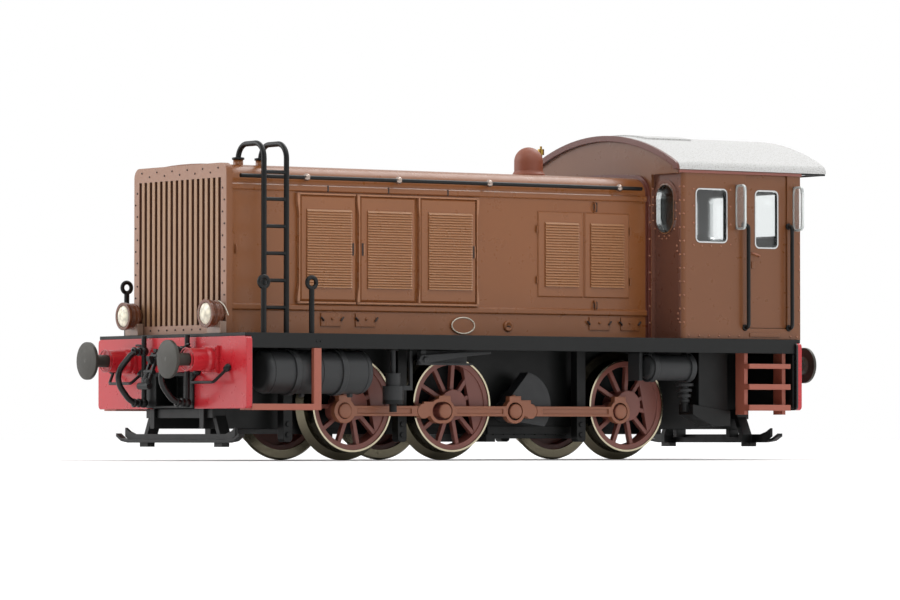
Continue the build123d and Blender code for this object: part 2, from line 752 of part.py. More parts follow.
def hood_section(inset):
    """Closed outline of the hood, shrunk by inset, open to nothing, in the Y-Z plane."""
    half = hood_half_width - inset
    radius = hood_shoulder_radius - inset
    crown = hood_crown_z - inset
    shoulder_y = hood_half_width - hood_shoulder_radius
    shoulder_top = hood_shoulder_z + radius
    slope = 0.7071 * radius
    right = Line((half, deck_top), (half, hood_shoulder_z))
    curve = ThreePointArc((half, hood_shoulder_z), (shoulder_y + slope, hood_shoulder_z + slope),
                          (shoulder_y, shoulder_top))
    top = ThreePointArc((shoulder_y, shoulder_top), (0, crown), (-shoulder_y, shoulder_top))
    other = ThreePointArc((-shoulder_y, shoulder_top), (-shoulder_y - slope, hood_shoulder_z + slope),
                          (-half, hood_shoulder_z))
    left = Line((-half, hood_shoulder_z), (-half, deck_top))
    return make_face(right + curve + top + other + left + Line((-half, deck_top), (half, deck_top)))


def across(face, x0, x1):
    """A Y-Z face pulled from x0 to x1."""
    plane = Plane(origin=(x0, 0, 0), x_dir=(0, 1, 0), z_dir=(1, 0, 0))
    return extrude(plane * face, x1 - x0)


def hood():
    shell = across(hood_section(0.0), hood_rear_x, hood_front_x)
    shell -= across(hood_section(hood_wall), hood_rear_x - 1, hood_front_x + 1)
    proud, length = hood_moulding
    ring = across(hood_section(-proud), hood_rear_x, hood_rear_x + length)
    shell += ring - across(hood_section(hood_wall / 2), hood_rear_x - 1, hood_front_x)
    for low, high in (upper_strip, lower_strip):
        strip = box(hood_rear_x, hood_front_x, hood_half_width - 0.1, hood_half_width + strip_proud,
                    low, high)
        shell += left_and_right(chamfer(strip.edges().group_by(Axis.Y)[-1].filter_by(Axis.X), 0.15))
    return shell


def louvre_field(x0, x1, z0, z1, base_y, target_pitch):
    """Saw-toothed field of slats standing out from a door face."""
    slats = round((z1 - z0) / target_pitch)
    pitch = (z1 - z0) / slats
    points = [(base_y - 0.1, z0), (base_y + slat_root, z0)]
    for k in range(slats):
        low = z0 + k * pitch
        points += [(base_y + slat_proud, low + 0.15 * pitch), (base_y + slat_root, low + pitch)]
    points += [(base_y - 0.1, z1), (base_y - 0.1, z0)]
    return across(make_face(Polyline(*points)), x1, x0)


def raised_door(row):
    x0, x1, z0, z1, proud, lx0, lx1, lz0, lz1, slat_pitch = row[1:]
    face_y = hood_half_width + proud
    leaf = box(x1, x0, hood_half_width, face_y, z0, z1)
    leaf = chamfer(leaf.faces().sort_by(Axis.Y)[-1].edges(), 0.8 * proud)
    return leaf + louvre_field(lx0, lx1, lz0, lz1, face_y, slat_pitch)


def engine_doors():
    for node, rows in (("engine_doors", hood_doors), ("engine_end_doors", rear_door_leaves)):
        left = [raised_door(row) for row in rows]
        write(node, *left, *[mirror(leaf, about=Plane.XZ) for leaf in left])


def hatches():
    lids = [box(x1, x0, hood_half_width, hood_half_width + hatch_proud, hatch_bottom, hatch_top)
            for x0, x1 in hood_hatches]
    plane = Plane(origin=(plate_x, hood_half_width + 0.2, plate_z), x_dir=(1, 0, 0), z_dir=(0, -1, 0))
    oval = extrude(plane * Ellipse(plate_half_length, plate_half_height), 0.2)
    lids.append(oval)
    write("hood_hatches", *lids, *[mirror(lid, about=Plane.XZ) for lid in lids])


def grille():
    x0, x1 = hood_front_x, hood_front_x + grille_thickness
    face = rounded_panel(-grille_half_width, grille_half_width, deck_top - 5, grille_top, grille_corner)
    plate = across(face, x0, x1)
    plate -= box(x0 - 1, x1 + 1, -beam_half_width, beam_half_width, deck_top - 10, deck_top)
    pitch = (2 * slot_field_half - slot_width) / (slot_count - 1)
    for k in range(slot_count):
        y = -slot_field_half + slot_width / 2 + k * pitch
        plate -= box(x0 - 1, x1 + 1, y - slot_width / 2, y + slot_width / 2, slot_bottom, slot_top)
    core_half = hood_half_width - hood_shoulder_radius + 1.0
    core = box(x0 - core_set_back - 0.6, x0 - core_set_back, -core_half, core_half, deck_top, slot_top + 0.3)
    write("radiator_grille", plate)
    write("radiator_core", core)


def lamp():
    back = lamp_front_x - lamp_length
    drum = rod_x(lamp_radius, back, lamp_front_x - lamp_rim_thickness, lamp_y, lamp_z)
    drum = chamfer(drum.faces().sort_by(Axis.X)[0].edges(), 0.35)
    drum += rod_x(lamp_rim_radius, lamp_front_x - lamp_rim_thickness, lamp_front_x, lamp_y, lamp_z)
    for step in (0.55, 1.1):
        drum += rod_x(lamp_radius + 0.1, back + step, back + step + 0.2, lamp_y, lamp_z)
    foot = box(*lamp_foot_x, lamp_y - lamp_foot_half, lamp_y + lamp_foot_half, deck_top, lamp_z - 1.0)
    drum += foot
    drum -= rod_x(lens_radius, lamp_front_x - lens_depth, lamp_front_x + 1, lamp_y, lamp_z)
    glass = rod_x(lens_radius - 0.01, lamp_front_x - lens_depth, lamp_front_x - 0.15, lamp_y, lamp_z)
    return drum, glass


def lamps():
    drum, glass = lamp()
    write("headlamps", drum, mirror(drum, about=Plane.XZ))
    write("headlamp_lenses", glass, mirror(glass, about=Plane.XZ))


def exhaust():
    proud, height = exhaust_foot
    dome_z = hood_crown_z + exhaust_rise - exhaust_radius
    stack = rod_z(exhaust_radius, exhaust_x, 0, hood_crown_z - 1, dome_z)
    stack += Pos(exhaust_x, 0, dome_z) * Sphere(exhaust_radius)
    foot = Polyline((0, -1), (exhaust_radius + proud, -1), (exhaust_radius + proud, height / 3),
                    (exhaust_radius + proud / 3, 2 * height / 3), (exhaust_radius, height), (0, height), (0, -1))
    stack += Pos(exhaust_x, 0, hood_crown_z) * revolve(make_face(Plane.XZ * foot), Axis.Z)
    hood_room = across(hood_section(0.0), hood_rear_x, hood_front_x)
    write("exhaust_stack", stack - hood_room)
    bell_low, bell_high, knob_high = (hood_crown_z + rise for rise in whistle_rise)
    pipe = rod_z(whistle_stem_radius, whistle_x, whistle_y, hood_crown_z - 1, bell_low)
    pipe += rod_z(whistle_bell_radius, whistle_x, whistle_y, bell_low, bell_high)
    pipe += rod_z(whistle_knob_radius, whistle_x, whistle_y, bell_high, knob_high)
    write("whistle", pipe - hood_room)


def hood_handrail():
    """Rail along the hood's shoulder, turned in one piece with its ball knobs, on short stems."""
    outline = Polyline((handrail_x[1], 0), (handrail_x[0], 0), (handrail_x[0], handrail_radius),
                       (handrail_x[1], handrail_radius), (handrail_x[1], 0))
    profile = make_face(outline)
    knob = Circle(knob_radius) & Pos(0, knob_radius) * Rectangle(2 * knob_radius, 2 * knob_radius)
    for x in knob_x:
        profile += Pos(x, 0) * knob
    rail = Pos(0, handrail_y, handrail_z) * revolve(profile, Axis.X)
    rise = handrail_z - hood_shoulder_z
    seat = hood_half_width - hood_shoulder_radius + math.sqrt(hood_shoulder_radius ** 2 - rise ** 2)
    for x in knob_x:
        rail += rod_y(stem_radius, x, seat + stem_radius, handrail_y, handrail_z)
    write("hood_handrails", *both_sides(rail))


def ladder():
    rise = ladder_top - 2.0
    pieces = None
    for x in ladder_x:
        path = FilletPolyline((x, ladder_y, deck_top), (x, ladder_y, ladder_top),
                              (x, ladder_foot_y, ladder_top), (x, ladder_foot_y, hood_crown_z - 1.5),
                              radius=ladder_top - rise)
        start = Plane(origin=path @ 0, z_dir=path % 0)
        rail = sweep(start * Circle(ladder_rail_radius), path=path)
        rail += rod_z(ladder_rail_radius + 0.25, x, ladder_foot_y, hood_crown_z - 1.0, hood_crown_z + 0.3)
        pieces = rail if pieces is None else pieces + rail
    for k in range(rung_count):
        pieces += rod_x(rung_radius, *ladder_x, ladder_y, first_rung_z + k * rung_pitch)
    pieces -= across(hood_section(0.0), hood_rear_x, hood_front_x)
    write("hood_ladders", pieces)


def marker_rods():
    rods = []
    for x in marker_x:
        loop = Pos(x, marker_y, marker_z) * Rot(90, 0, 0) * Torus(marker_loop_radius, marker_loop_section)
        bottom = marker_z - marker_loop_radius
        rods.append(loop + rod_z(marker_rod_radius, x, marker_y, deck_top, bottom))
    write("lamp_irons", *rods, *[mirror(r, about=Plane.XZ) for r in rods])


def motor_block():
    write("motor_block", box(motor_x[1], motor_x[0], -motor_half_width, motor_half_width,
                             deck_top, motor_top))


# Cab

def roof_section(inset):
    half = roof_half_width - inset
    corner = roof_shoulder_radius - inset
    corner_y = roof_half_width - roof_shoulder_radius
    rise = roof_top_z - roof_shoulder_z
    full = (rise ** 2 + corner_y ** 2 - roof_shoulder_radius ** 2) / (2 * (rise - roof_shoulder_radius))
    crown = full - inset
    centre_z = roof_top_z - full
    tilt = math.atan2(corner_y, roof_shoulder_z - centre_z)
    join = (crown * math.sin(tilt), centre_z + crown * math.cos(tilt))
    middle = (math.pi / 2 - tilt) / 2
    bulge = (corner_y + corner * math.cos(middle), roof_shoulder_z + corner * math.sin(middle))
    side = Line((half, eave_z), (half, roof_shoulder_z))
    curve = ThreePointArc((half, roof_shoulder_z), bulge, join)
    top = ThreePointArc(join, (0, centre_z + crown), (-join[0], join[1]))
    other = ThreePointArc((-join[0], join[1]), (-bulge[0], bulge[1]), (-half, roof_shoulder_z))
    far = Line((-half, roof_shoulder_z), (-half, eave_z))
    return make_face(side + curve + top + other + far + Line((-half, eave_z), (half, eave_z)))


def roof():
    """Roof shell behind the fascia's rim, with a shallow raised panel near its front."""
    shell = across(roof_section(0.0), roof_rear_x, roof_front_x - fascia_rim)
    front, rear, half, rise = roof_panel
    panel = across(roof_section(-rise), rear, front) & box(front, rear, -half, half, eave_z, roof_top_z + 1)
    shell += panel
    shell -= across(roof_section(roof_thickness), roof_rear_x - 1, roof_front_x + 1)
    write("cab_roof", shell)


def end_wall(x0, x1, *openings):
    inner = cab_half_width - cab_wall
    wall = box(x0, x1, -inner, inner, deck_top, eave_z)
    wall += across(roof_section(roof_thickness), x0, x1)
    for opening in openings:
        wall -= left_and_right(end_block(opening, x0 - 1, x1 + 1))
    return wall


def cab_walls():
    front = end_wall(cab_front_x - cab_wall, cab_front_x, front_window)
    ring, proud = eyebrow
    brow = end_block(front_window, cab_front_x, cab_front_x + proud, ring)
    brow -= end_block(front_window, cab_front_x - 1, cab_front_x + 1)
    front += left_and_right(brow & box(cab_front_x, hood_rear_x, fascia_half, cab_half_width - cab_wall,
                                       front_window[3] - 2.5, fascia_bottom))
    rear = end_wall(cab_rear_x, cab_rear_x + cab_wall, rear_window, rear_middle_window)
    write("cab_front_wall", front)
    write("cab_rear_wall", rear)
    fascia = box(cab_front_x, hood_rear_x, -fascia_half, fascia_half, deck_top, fascia_bottom)
    wide = box(cab_front_x, hood_rear_x, -cab_half_width, cab_half_width, fascia_bottom, eave_z)
    fascia += wide + across(roof_section(roof_thickness), cab_front_x, hood_rear_x)
    rim = across(roof_section(0.0), roof_front_x - fascia_rim, roof_front_x)
    fascia += rim - across(roof_section(roof_thickness), hood_rear_x, roof_front_x + 1)
    write("cab_front_fascia", fascia)
    side = box(cab_rear_x, cab_front_x, cab_half_width - cab_wall, cab_half_width, deck_top, eave_z)
    corner = side.edges().filter_by(Axis.Z).group_by(Axis.Y)[-1].sort_by(Axis.X)[-1]
    side = fillet(corner, cab_corner)
    beyond = cab_half_width + 5
    side -= side_block(side_window, 0, beyond)
    side -= side_block(door, 0, beyond)
    write("cab_side_walls", side, mirror(side, about=Plane.XZ))
    leaf = side_block(door, cab_half_width - cab_wall, cab_half_width - door_set_in, -door_clearance)
    leaf -= side_block(door_window, 0, beyond)
    write("cab_doors", leaf, mirror(leaf, about=Plane.XZ))
    floor = box(cab_rear_x + cab_wall, cab_front_x - cab_wall, -cab_half_width + cab_wall,
                cab_half_width - cab_wall, deck_top, cab_floor_top)
    write("cab_floor", floor)


def windows():
    """Thin bright frames through the walls, with the panes set near the inner faces."""
    frames, panes = [], []
    inner = cab_half_width - cab_wall
    for window, face in ((side_window, cab_half_width), (door_window, cab_half_width - door_set_in)):
        ring = side_block(window, inner, face + window_frame_proud)
        ring -= side_block(window, 0, cab_half_width + 5, -window_frame)
        pane = side_block(window, inner, inner + pane_thickness, -window_frame)
        frames += [ring, mirror(ring, about=Plane.XZ)]
        panes += [pane, mirror(pane, about=Plane.XZ)]
    front_back = cab_front_x - cab_wall
    rear_inner = cab_rear_x + cab_wall
    ends_list = (
        (front_window, front_back, cab_front_x + eyebrow[1], front_back, True),
        (rear_window, cab_rear_x - window_frame_proud, rear_inner, rear_inner - pane_thickness, True),
        (rear_middle_window, cab_rear_x - window_frame_proud, rear_inner, rear_inner - pane_thickness, False),
    )
    for window, back, front, pane_x, paired in ends_list:
        ring = end_block(window, back, front) - end_block(window, back - 1, front + 1, -window_frame)
        pane = end_block(window, pane_x, pane_x + pane_thickness, -window_frame)
        frames.append(ring)
        panes.append(pane)
        if paired:
            frames.append(mirror(ring, about=Plane.XZ))
            panes.append(mirror(pane, about=Plane.XZ))
    write("cab_window_frames", *frames)
    write("cab_panes", *panes)


def deflectors_and_rails():
    blades = []
    for x in deflector_x:
        blade = box(x - deflector_thickness / 2, x + deflector_thickness / 2, cab_half_width,
                    cab_half_width + deflector_reach, *deflector_z)
        corner = blade.edges().filter_by(Axis.X).group_by(Axis.Y)[-1]
        blades.append(fillet(corner, 0.7))
    write("wind_deflectors", *blades, *[mirror(b, about=Plane.XZ) for b in blades])
    rails = []
    for x in cab_rail_x:
        low, high = cab_rail_z
        path = FilletPolyline((x, cab_half_width, low), (x, cab_rail_y, low), (x, cab_rail_y, high),
                              (x, cab_half_width, high), radius=0.5)
        start = Plane(origin=path @ 0, z_dir=path % 0)
        rails.append(sweep(start * Circle(handrail_radius), path=path))
    write("cab_handrails", *rails, *[mirror(r, about=Plane.XZ) for r in rails])


# Under the deck

def round_tank(x0, x1, y, z, radius):
    tank = rod_x(radius, x0, x1, y, z)
    return fillet(tank.edges().filter_by(GeomType.CIRCLE), tank_dome)


def strap(x, y, z, radius):
    hoop = rod_x(radius + strap_thickness, x - strap_width / 2, x + strap_width / 2, y, z)
    hanger = box(x - strap_width / 2, x + strap_width / 2, y - 0.5, y + 0.5, z, deck_bottom)
    return (hoop + hanger) - rod_x(radius + tyre_seat, x - 5, x + 5, y, z)


def tanks():
    large = round_tank(*tank_x, tank_y, tank_z, tank_radius)
    small = round_tank(*small_tank_x, small_tank_y, small_tank_z, small_tank_radius)
    write("air_tanks", *both_sides(large), *both_sides(small))
    straps = [strap(x, tank_y, tank_z, tank_radius) for x in tank_strap_x]
    straps += [strap(x, small_tank_y, small_tank_z, small_tank_radius) for x in small_tank_strap_x]
    x0, x1, y0, y1, low = tank_bracket
    straps.append(box(x0, x1, y0, y1, low, deck_bottom))
    write("tank_straps", *straps, *[mirror(s, about=Plane.XZ) for s in straps])


def brake_cylinders():
    stack = rod_z(1.4, brake_x, brake_y, 7.45, 9.85)
    stack += rod_z(1.0, brake_x, brake_y, 9.85, 11.55)
    stack += rod_z(0.36, brake_x, brake_y, 11.55, 14.6)
    stack += rod_z(0.75, brake_x, brake_y, 14.5, deck_bottom)
    stack += rod_z(0.5, brake_x, brake_y, 6.4, 7.45)
    stack += box(brake_x - 2.6, brake_x, brake_y - 0.2, brake_y + 0.2, 9.3, 9.9)
    stack += box(brake_x - 3.0, brake_x - 2.6, brake_y - 0.2, brake_y + 0.2, 9.3, deck_bottom)
    write("brake_cylinders", stack, mirror(stack, about=Plane.XZ))


def sandboxes():
    side = box(*sandbox_x, *sandbox_y, sandbox_bottom, deck_bottom)
    y0, y1 = sandbox_y[0] - sandbox_foot_proud, sandbox_y[1] + sandbox_foot_proud
    plane = Plane(origin=(0, y1, 0), x_dir=(1, 0, 0), z_dir=(0, -1, 0))
    side += extrude(plane * make_face(Polyline(*sandbox_foot, sandbox_foot[0])), y1 - y0)
    side += rod_z(feed_core_radius, feed_x, feed_y, sandbox_bottom, feed_top)
    for k in range(feed_rings):
        radius = feed_ring_radius - k * feed_ring_taper
        high = feed_top - k * feed_ring_pitch
        side += rod_z(radius, feed_x, feed_y, high - 0.4, high)
    write("sandboxes", side, mirror(side, about=Plane.XZ))


def side_pipes():
    pipe = rod_x(pipe_radius, *pipe_x, pipe_y, pipe_z)
    for x in (pipe_x[0] - 1.0, pipe_x[1] + 1.0):
        pipe += box(x - 0.3, x + 0.3, pipe_y - 0.6, pipe_y + 0.6, pipe_z - 0.6, deck_bottom)
    write("side_pipes", pipe, mirror(pipe, about=Plane.XZ))


def steps():
    tread = box(step_x[0], beam_front_inner, *step_tread_y, *step_tread_z)
    bar = box(*step_x, step_bar_y, step_tread_y[1], step_tread_z[0], valance_bottom)
    front = tread + bar
    write("front_steps", front, mirror(front, about=Plane.XZ))
    x0, x1 = rear_step_x
    rear = box(x0 - rear_stringer, x0, *rear_stringer_y, rear_stringer_bottom, deck_bottom)
    rear += box(x1, x1 + rear_stringer, *rear_stringer_y, rear_stringer_bottom, deck_bottom)
    for low, high in rear_tread_z:
        rear += box(x1, x0, rear_stringer_y[0] + 0.4, step_tread_y[1], low, high)
    write("rear_steps", rear, mirror(rear, about=Plane.XZ))


def main():
    for number, x in enumerate(axle_x, start=1):
        wheelset(number, x)
    jackshaft()
    coupling_rods("left", crank_angle_left)
    coupling_rods("right", crank_angle_right)
    frame_plates()
    keeper_and_gear_block()
    brake_gear()
    deck()
    ends()
    rail_guards()
    write("hood", hood())
    engine_doors()
    hatches()
    grille()
    lamps()
    exhaust()
    hood_handrail()
    ladder()
    marker_rods()
    motor_block()
    roof()
    cab_walls()
    windows()
    deflectors_and_rails()
    tanks()
    brake_cylinders()
    sandboxes()
    side_pipes()
    steps()


main()
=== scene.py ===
import json
import math

import bmesh
import bpy
from mathutils import Matrix, Vector


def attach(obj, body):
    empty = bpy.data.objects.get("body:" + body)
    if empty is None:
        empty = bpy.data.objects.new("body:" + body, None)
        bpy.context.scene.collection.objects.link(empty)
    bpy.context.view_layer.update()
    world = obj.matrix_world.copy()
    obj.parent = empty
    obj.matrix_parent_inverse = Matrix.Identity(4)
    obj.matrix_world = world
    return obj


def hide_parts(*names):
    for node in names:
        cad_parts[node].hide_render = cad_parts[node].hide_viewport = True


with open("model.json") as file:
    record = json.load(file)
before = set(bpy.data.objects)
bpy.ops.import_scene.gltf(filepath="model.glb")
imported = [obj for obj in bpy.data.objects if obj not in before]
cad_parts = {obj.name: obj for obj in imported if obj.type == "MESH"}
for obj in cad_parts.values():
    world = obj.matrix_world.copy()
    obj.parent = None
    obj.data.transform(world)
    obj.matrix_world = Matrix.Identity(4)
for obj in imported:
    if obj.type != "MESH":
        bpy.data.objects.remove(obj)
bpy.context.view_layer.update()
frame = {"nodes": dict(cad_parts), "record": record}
nodes = frame["nodes"]
MM = 0.001
ROOT = "locomotive_body"
# Radius over which sharp edges are softened in the shading
EDGE_RADIUS = 0.16 * MM
# Noise scales, per metre
DRIFT_SCALE = 90.0
GLOSS_SCALE = 700.0
PEEL_SCALE = 6500.0
SPECK_SCALE = 5200.0
TURNING_SCALE = 9000.0
HAZE_SCALE = 300.0
FACET_SCALE = 1500.0
# Heights of the relief that is only in the shading
PEEL_DEPTH = 0.02 * MM
SPECK_DEPTH = 0.03 * MM
TURNING_DEPTH = 0.01 * MM
FACET_DEPTH = 0.1 * MM


def linear(r, g, b):
    """sRGB 0-255 to linear."""
    def one(c):
        c /= 255.0
        return c / 12.92 if c <= 0.04045 else ((c + 0.055) / 1.055) ** 2.4
    return (one(r), one(g), one(b), 1.0)


# Materials

def new_material(name):
    material = bpy.data.materials.new(name)
    material.use_nodes = True
    tree = material.node_tree
    tree.nodes.clear()
    out = tree.nodes.new("ShaderNodeOutputMaterial")
    shader = tree.nodes.new("ShaderNodeBsdfPrincipled")
    tree.links.new(shader.outputs["BSDF"], out.inputs["Surface"])
    return material, tree, shader


def coordinates(tree, stretch=(1, 1, 1)):
    place = tree.nodes.new("ShaderNodeTexCoord")
    scale = tree.nodes.new("ShaderNodeMapping")
    scale.inputs["Scale"].default_value = stretch
    tree.links.new(place.outputs["Object"], scale.inputs["Vector"])
    return scale.outputs["Vector"]


def noise(tree, vector, scale, detail=3.0, rough=0.55):
    node = tree.nodes.new("ShaderNodeTexNoise")
    node.inputs["Scale"].default_value = scale
    node.inputs["Detail"].default_value = detail
    node.inputs["Roughness"].default_value = rough
    tree.links.new(vector, node.inputs["Vector"])
    return node.outputs["Fac"]


def ramp(tree, fac, low, high, start=0.3, end=0.7):
    node = tree.nodes.new("ShaderNodeValToRGB")
    node.color_ramp.elements[0].position = start
    node.color_ramp.elements[0].color = low
    node.color_ramp.elements[1].position = end
    node.color_ramp.elements[1].color = high
    tree.links.new(fac, node.inputs["Fac"])
    return node.outputs["Color"]


def grey(value):
    return (value, value, value, 1.0)


def tint(colour, factor):
    return tuple(min(1.0, c * factor) for c in colour[:3]) + (1.0,)


def mix(tree, fac, first, second):
    """Blend a colour socket towards a second colour, given as a socket or as four numbers."""
    node = tree.nodes.new("ShaderNodeMix")
    node.data_type = "RGBA"
    tree.links.new(fac, node.inputs[0])
    tree.links.new(first, node.inputs[6])
    if isinstance(second, tuple):
        node.inputs[7].default_value = second
    else:
        tree.links.new(second, node.inputs[7])
    return node.outputs[2]


def vector_math(tree, operation, first, second=None):
    node = tree.nodes.new("ShaderNodeVectorMath")
    node.operation = operation
    tree.links.new(first, node.inputs[0])
    if isinstance(second, tuple):
        node.inputs[1].default_value = second
    elif second is not None:
        tree.links.new(second, node.inputs[1])
    return node


def in_box(tree, where, low, high):
    """1 inside the box between two corners in mm, else 0."""
    centre = tuple((a + b) / 2 * MM for a, b in zip(low, high))
    half = tuple((b - a) / 2 * MM for a, b in zip(low, high))
    shifted = vector_math(tree, "SUBTRACT", where, centre).outputs[0]
    size = vector_math(tree, "DIVIDE", vector_math(tree, "ABSOLUTE", shifted).outputs[0], half).outputs[0]
    parts = tree.nodes.new("ShaderNodeSeparateXYZ")
    tree.links.new(size, parts.inputs[0])
    value = parts.outputs[0]
    steps = (("MAXIMUM", parts.outputs[1]), ("MAXIMUM", parts.outputs[2]), ("LESS_THAN", 1.0))
    for operation, other in steps:
        node = tree.nodes.new("ShaderNodeMath")
        node.operation = operation
        tree.links.new(value, node.inputs[0])
        if isinstance(other, float):
            node.inputs[1].default_value = other
        else:
            tree.links.new(other, node.inputs[1])
        value = node.outputs[0]
    return value


def soft_edges(tree):
    """The normal with rounded edges, and a mask that is 1 on sharp edges."""
    soft = tree.nodes.new("ShaderNodeBevel")
    soft.samples = 4
    soft.inputs["Radius"].default_value = EDGE_RADIUS
    true = tree.nodes.new("ShaderNodeNewGeometry")
    along = vector_math(tree, "DOT_PRODUCT", soft.outputs["Normal"], true.outputs["Normal"])
    return soft.outputs["Normal"], ramp(tree, along.outputs["Value"], grey(1.0), grey(0.0), 0.75, 0.97)


def add_bump(tree, shader, height, strength, distance, normal=None):
    bump = tree.nodes.new("ShaderNodeBump")
    bump.inputs["Strength"].default_value = strength
    bump.inputs["Distance"].default_value = distance
    tree.links.new(height, bump.inputs["Height"])
    if normal is not None:
        tree.links.new(normal, bump.inputs["Normal"])
    tree.links.new(bump.outputs["Normal"], shader.inputs["Normal"])


def paint(name, colour, rough=0.42, vary=0.06, grain=PEEL_SCALE, bump=0.1, metal=0.0, coat=0.0, edge_highlight=1.5,
          zones=(), soften=True, spec=0.5):
    """Sprayed paint or moulded plastic: tone drift, orange peel and uneven gloss.

    Where it is softened, its sharp edges are rounded in the shading and made paler by a factor, a painted
    highlight along the edges.

    Each zone is a low corner and a high corner in mm, and the colour inside that box.
    """
    material, tree, shader = new_material(name)
    where = coordinates(tree)
    drift = noise(tree, where, DRIFT_SCALE, 4.0)
    base = ramp(tree, drift, tint(colour, 1 - vary), tint(colour, 1 + vary))
    for low, high, inside in zones:
        base = mix(tree, in_box(tree, where, low, high), base, inside)
    normal = None
    if soften:
        normal, edge = soft_edges(tree)
        # painted highlight: the sharp edges made paler
        painted_highlight = vector_math(tree, "MULTIPLY", base, (edge_highlight, edge_highlight, edge_highlight)).outputs[0]
        base = mix(tree, edge, base, painted_highlight)
    tree.links.new(base, shader.inputs["Base Color"])
    gloss = noise(tree, where, GLOSS_SCALE, 3.0)
    tree.links.new(ramp(tree, gloss, grey(max(rough - 0.05, 0.03)), grey(rough + 0.06)),
                   shader.inputs["Roughness"])
    shader.inputs["Metallic"].default_value = metal
    shader.inputs["Specular IOR Level"].default_value = spec
    if coat:
        shader.inputs["Coat Weight"].default_value = coat
        shader.inputs["Coat Roughness"].default_value = 0.15
    add_bump(tree, shader, noise(tree, where, grain, 2.0), bump, PEEL_DEPTH, normal)
    return material


def speckled(name, colour, specks, rough=0.6):
    """Light roof paint with fine dark specks."""
    material, tree, shader = new_material(name)
    where = coordinates(tree)
    fine = noise(tree, where, SPECK_SCALE, 2.0, 0.7)
    base = ramp(tree, fine, specks, colour, 0.33, 0.5)
    tree.links.new(base, shader.inputs["Base Color"])
    shader.inputs["Roughness"].default_value = rough
    add_bump(tree, shader, fine, 0.25, SPECK_DEPTH)
    return material


def turned_metal(name, colour, rough=0.28, stretch=(1, 1, 1), scale=TURNING_SCALE, zones=()):
    """Plated or turned metal with fine lines along the unstretched axes."""
    material, tree, shader = new_material(name)
    where = coordinates(tree, stretch)
    lines = noise(tree, where, scale, 2.0, 0.6)
    base = ramp(tree, lines, tint(colour, 0.86), colour)
    for low, high, inside in zones:
        base = mix(tree, in_box(tree, coordinates(tree), low, high), base, inside)
    tree.links.new(base, shader.inputs["Base Color"])
    tree.links.new(ramp(tree, lines, grey(rough - 0.06), grey(rough + 0.08)), shader.inputs["Roughness"])
    shader.inputs["Metallic"].default_value = 1.0
    add_bump(tree, shader, lines, 0.08, TURNING_DEPTH)
    return material


def clear(name, colour, rough=0.03, ior=1.49, through=1.0):
    """Clear moulded plastic with a slight uneven haze, milky where less of the light goes through."""
    material, tree, shader = new_material(name)
    haze = noise(tree, coordinates(tree), HAZE_SCALE, 2.0)
    tree.links.new(ramp(tree, haze, grey(rough), grey(rough + 0.04)), shader.inputs["Roughness"])
    shader.inputs["Base Color"].default_value = colour
    shader.inputs["IOR"].default_value = ior
    shader.inputs["Transmission Weight"].default_value = through
    return material


def faceted_lens(name, colour):
    """Cream lens with small facets, which glows a little: painted light that makes it brighter than its
    surroundings.
    """
    material, tree, shader = new_material(name)
    cells = tree.nodes.new("ShaderNodeTexVoronoi")
    cells.inputs["Scale"].default_value = FACET_SCALE
    tree.links.new(coordinates(tree), cells.inputs["Vector"])
    base = ramp(tree, cells.outputs["Distance"], colour, tint(colour, 0.6), 0.25, 0.75)
    tree.links.new(base, shader.inputs["Base Color"])
    # painted light: the lens glows in its own colour
    tree.links.new(base, shader.inputs["Emission Color"])
    shader.inputs["Emission Strength"].default_value = 0.12
    shader.inputs["Roughness"].default_value = 0.12
    add_bump(tree, shader, cells.outputs["Distance"], 0.5, FACET_DEPTH)
    return material


def paired(low, high, colour):
    """A zone on the left side and its mirror image on the right."""
    (x0, y0, z0), (x1, y1, z1) = low, high
    return (low, high, colour), ((x0, -y1, z0), (x1, -y0, z1), colour)


# Zones: parts of a node with a colour of their own, as a low corner, a high corner and that colour. Some
# of them are painted shade and painted highlight, as marked below.
TYRE_FACE_Y = 9.95
FRAME_BLACK = linear(17, 18, 18)
cab_room = ((-45.45, -16.52, 16.7), (-26.25, 16.52, 44.4), linear(76, 82, 82))
beam_back = ((-44.98, -25.0, 0.0), (45.14, 25.0, 16.3), FRAME_BLACK)
lamp_feet = ((44.8, -25.0, 16.5), (45.88, 25.0, 18.15), linear(140, 114, 98))
# painted shade: the cab front wall darker where the hood keeps the light off it
cab_front_shade = ((-25.9, -17.6, 16.0), (-24.81, 17.6, 39.76), linear(111, 73, 60))
# painted shade: the upper part of the cab front darker, as less light reaches it
cab_fascia_shade = ((-25.2, -17.9, 37.5), (-24.78, 17.9, 45.4), linear(112, 70, 43))
# painted shade: the moulding round the hood's rear end, and the last of the hood before it, darker on
# their shade side
fascia_rim_shade = ((-24.78, -17.9, 16.5), (-24.2, 17.9, 45.4), linear(96, 48, 38))
# painted shade: the cab sides darker than the hood, as less light falls on them
cab_side_shade = paired((-46.4, 16.9, 16.0), (-25.6, 17.7, 39.76), linear(116, 70, 39))
# painted highlight: the louvre slats lighter where they face up to the light
SLAT_HIGHLIGHT = linear(170, 124, 90)
slat_highlights = (*paired((5.4, 11.22, 22.7), (32.0, 11.6, 33.2), SLAT_HIGHLIGHT),
         *paired((-20.3, 10.97, 22.7), (-6.95, 11.6, 33.2), SLAT_HIGHLIGHT))
slot_bars = ((44.6, -9.9, 17.9), (44.8, 9.9, 36.9), linear(154, 118, 88))
grille_side = ((43.5, -11.6, 16.4), (44.6, 11.6, 39.4), linear(128, 78, 44))
# painted shade: the walls inside the grille's slots darker
slot_wall_shade = ((43.6, -10.3, 17.6), (44.62, 10.3, 37.1), linear(92, 60, 46))
pin_ends = paired((-6.0, 10.7, 2.0), (1.0, 12.0, 13.0), linear(124, 72, 54))
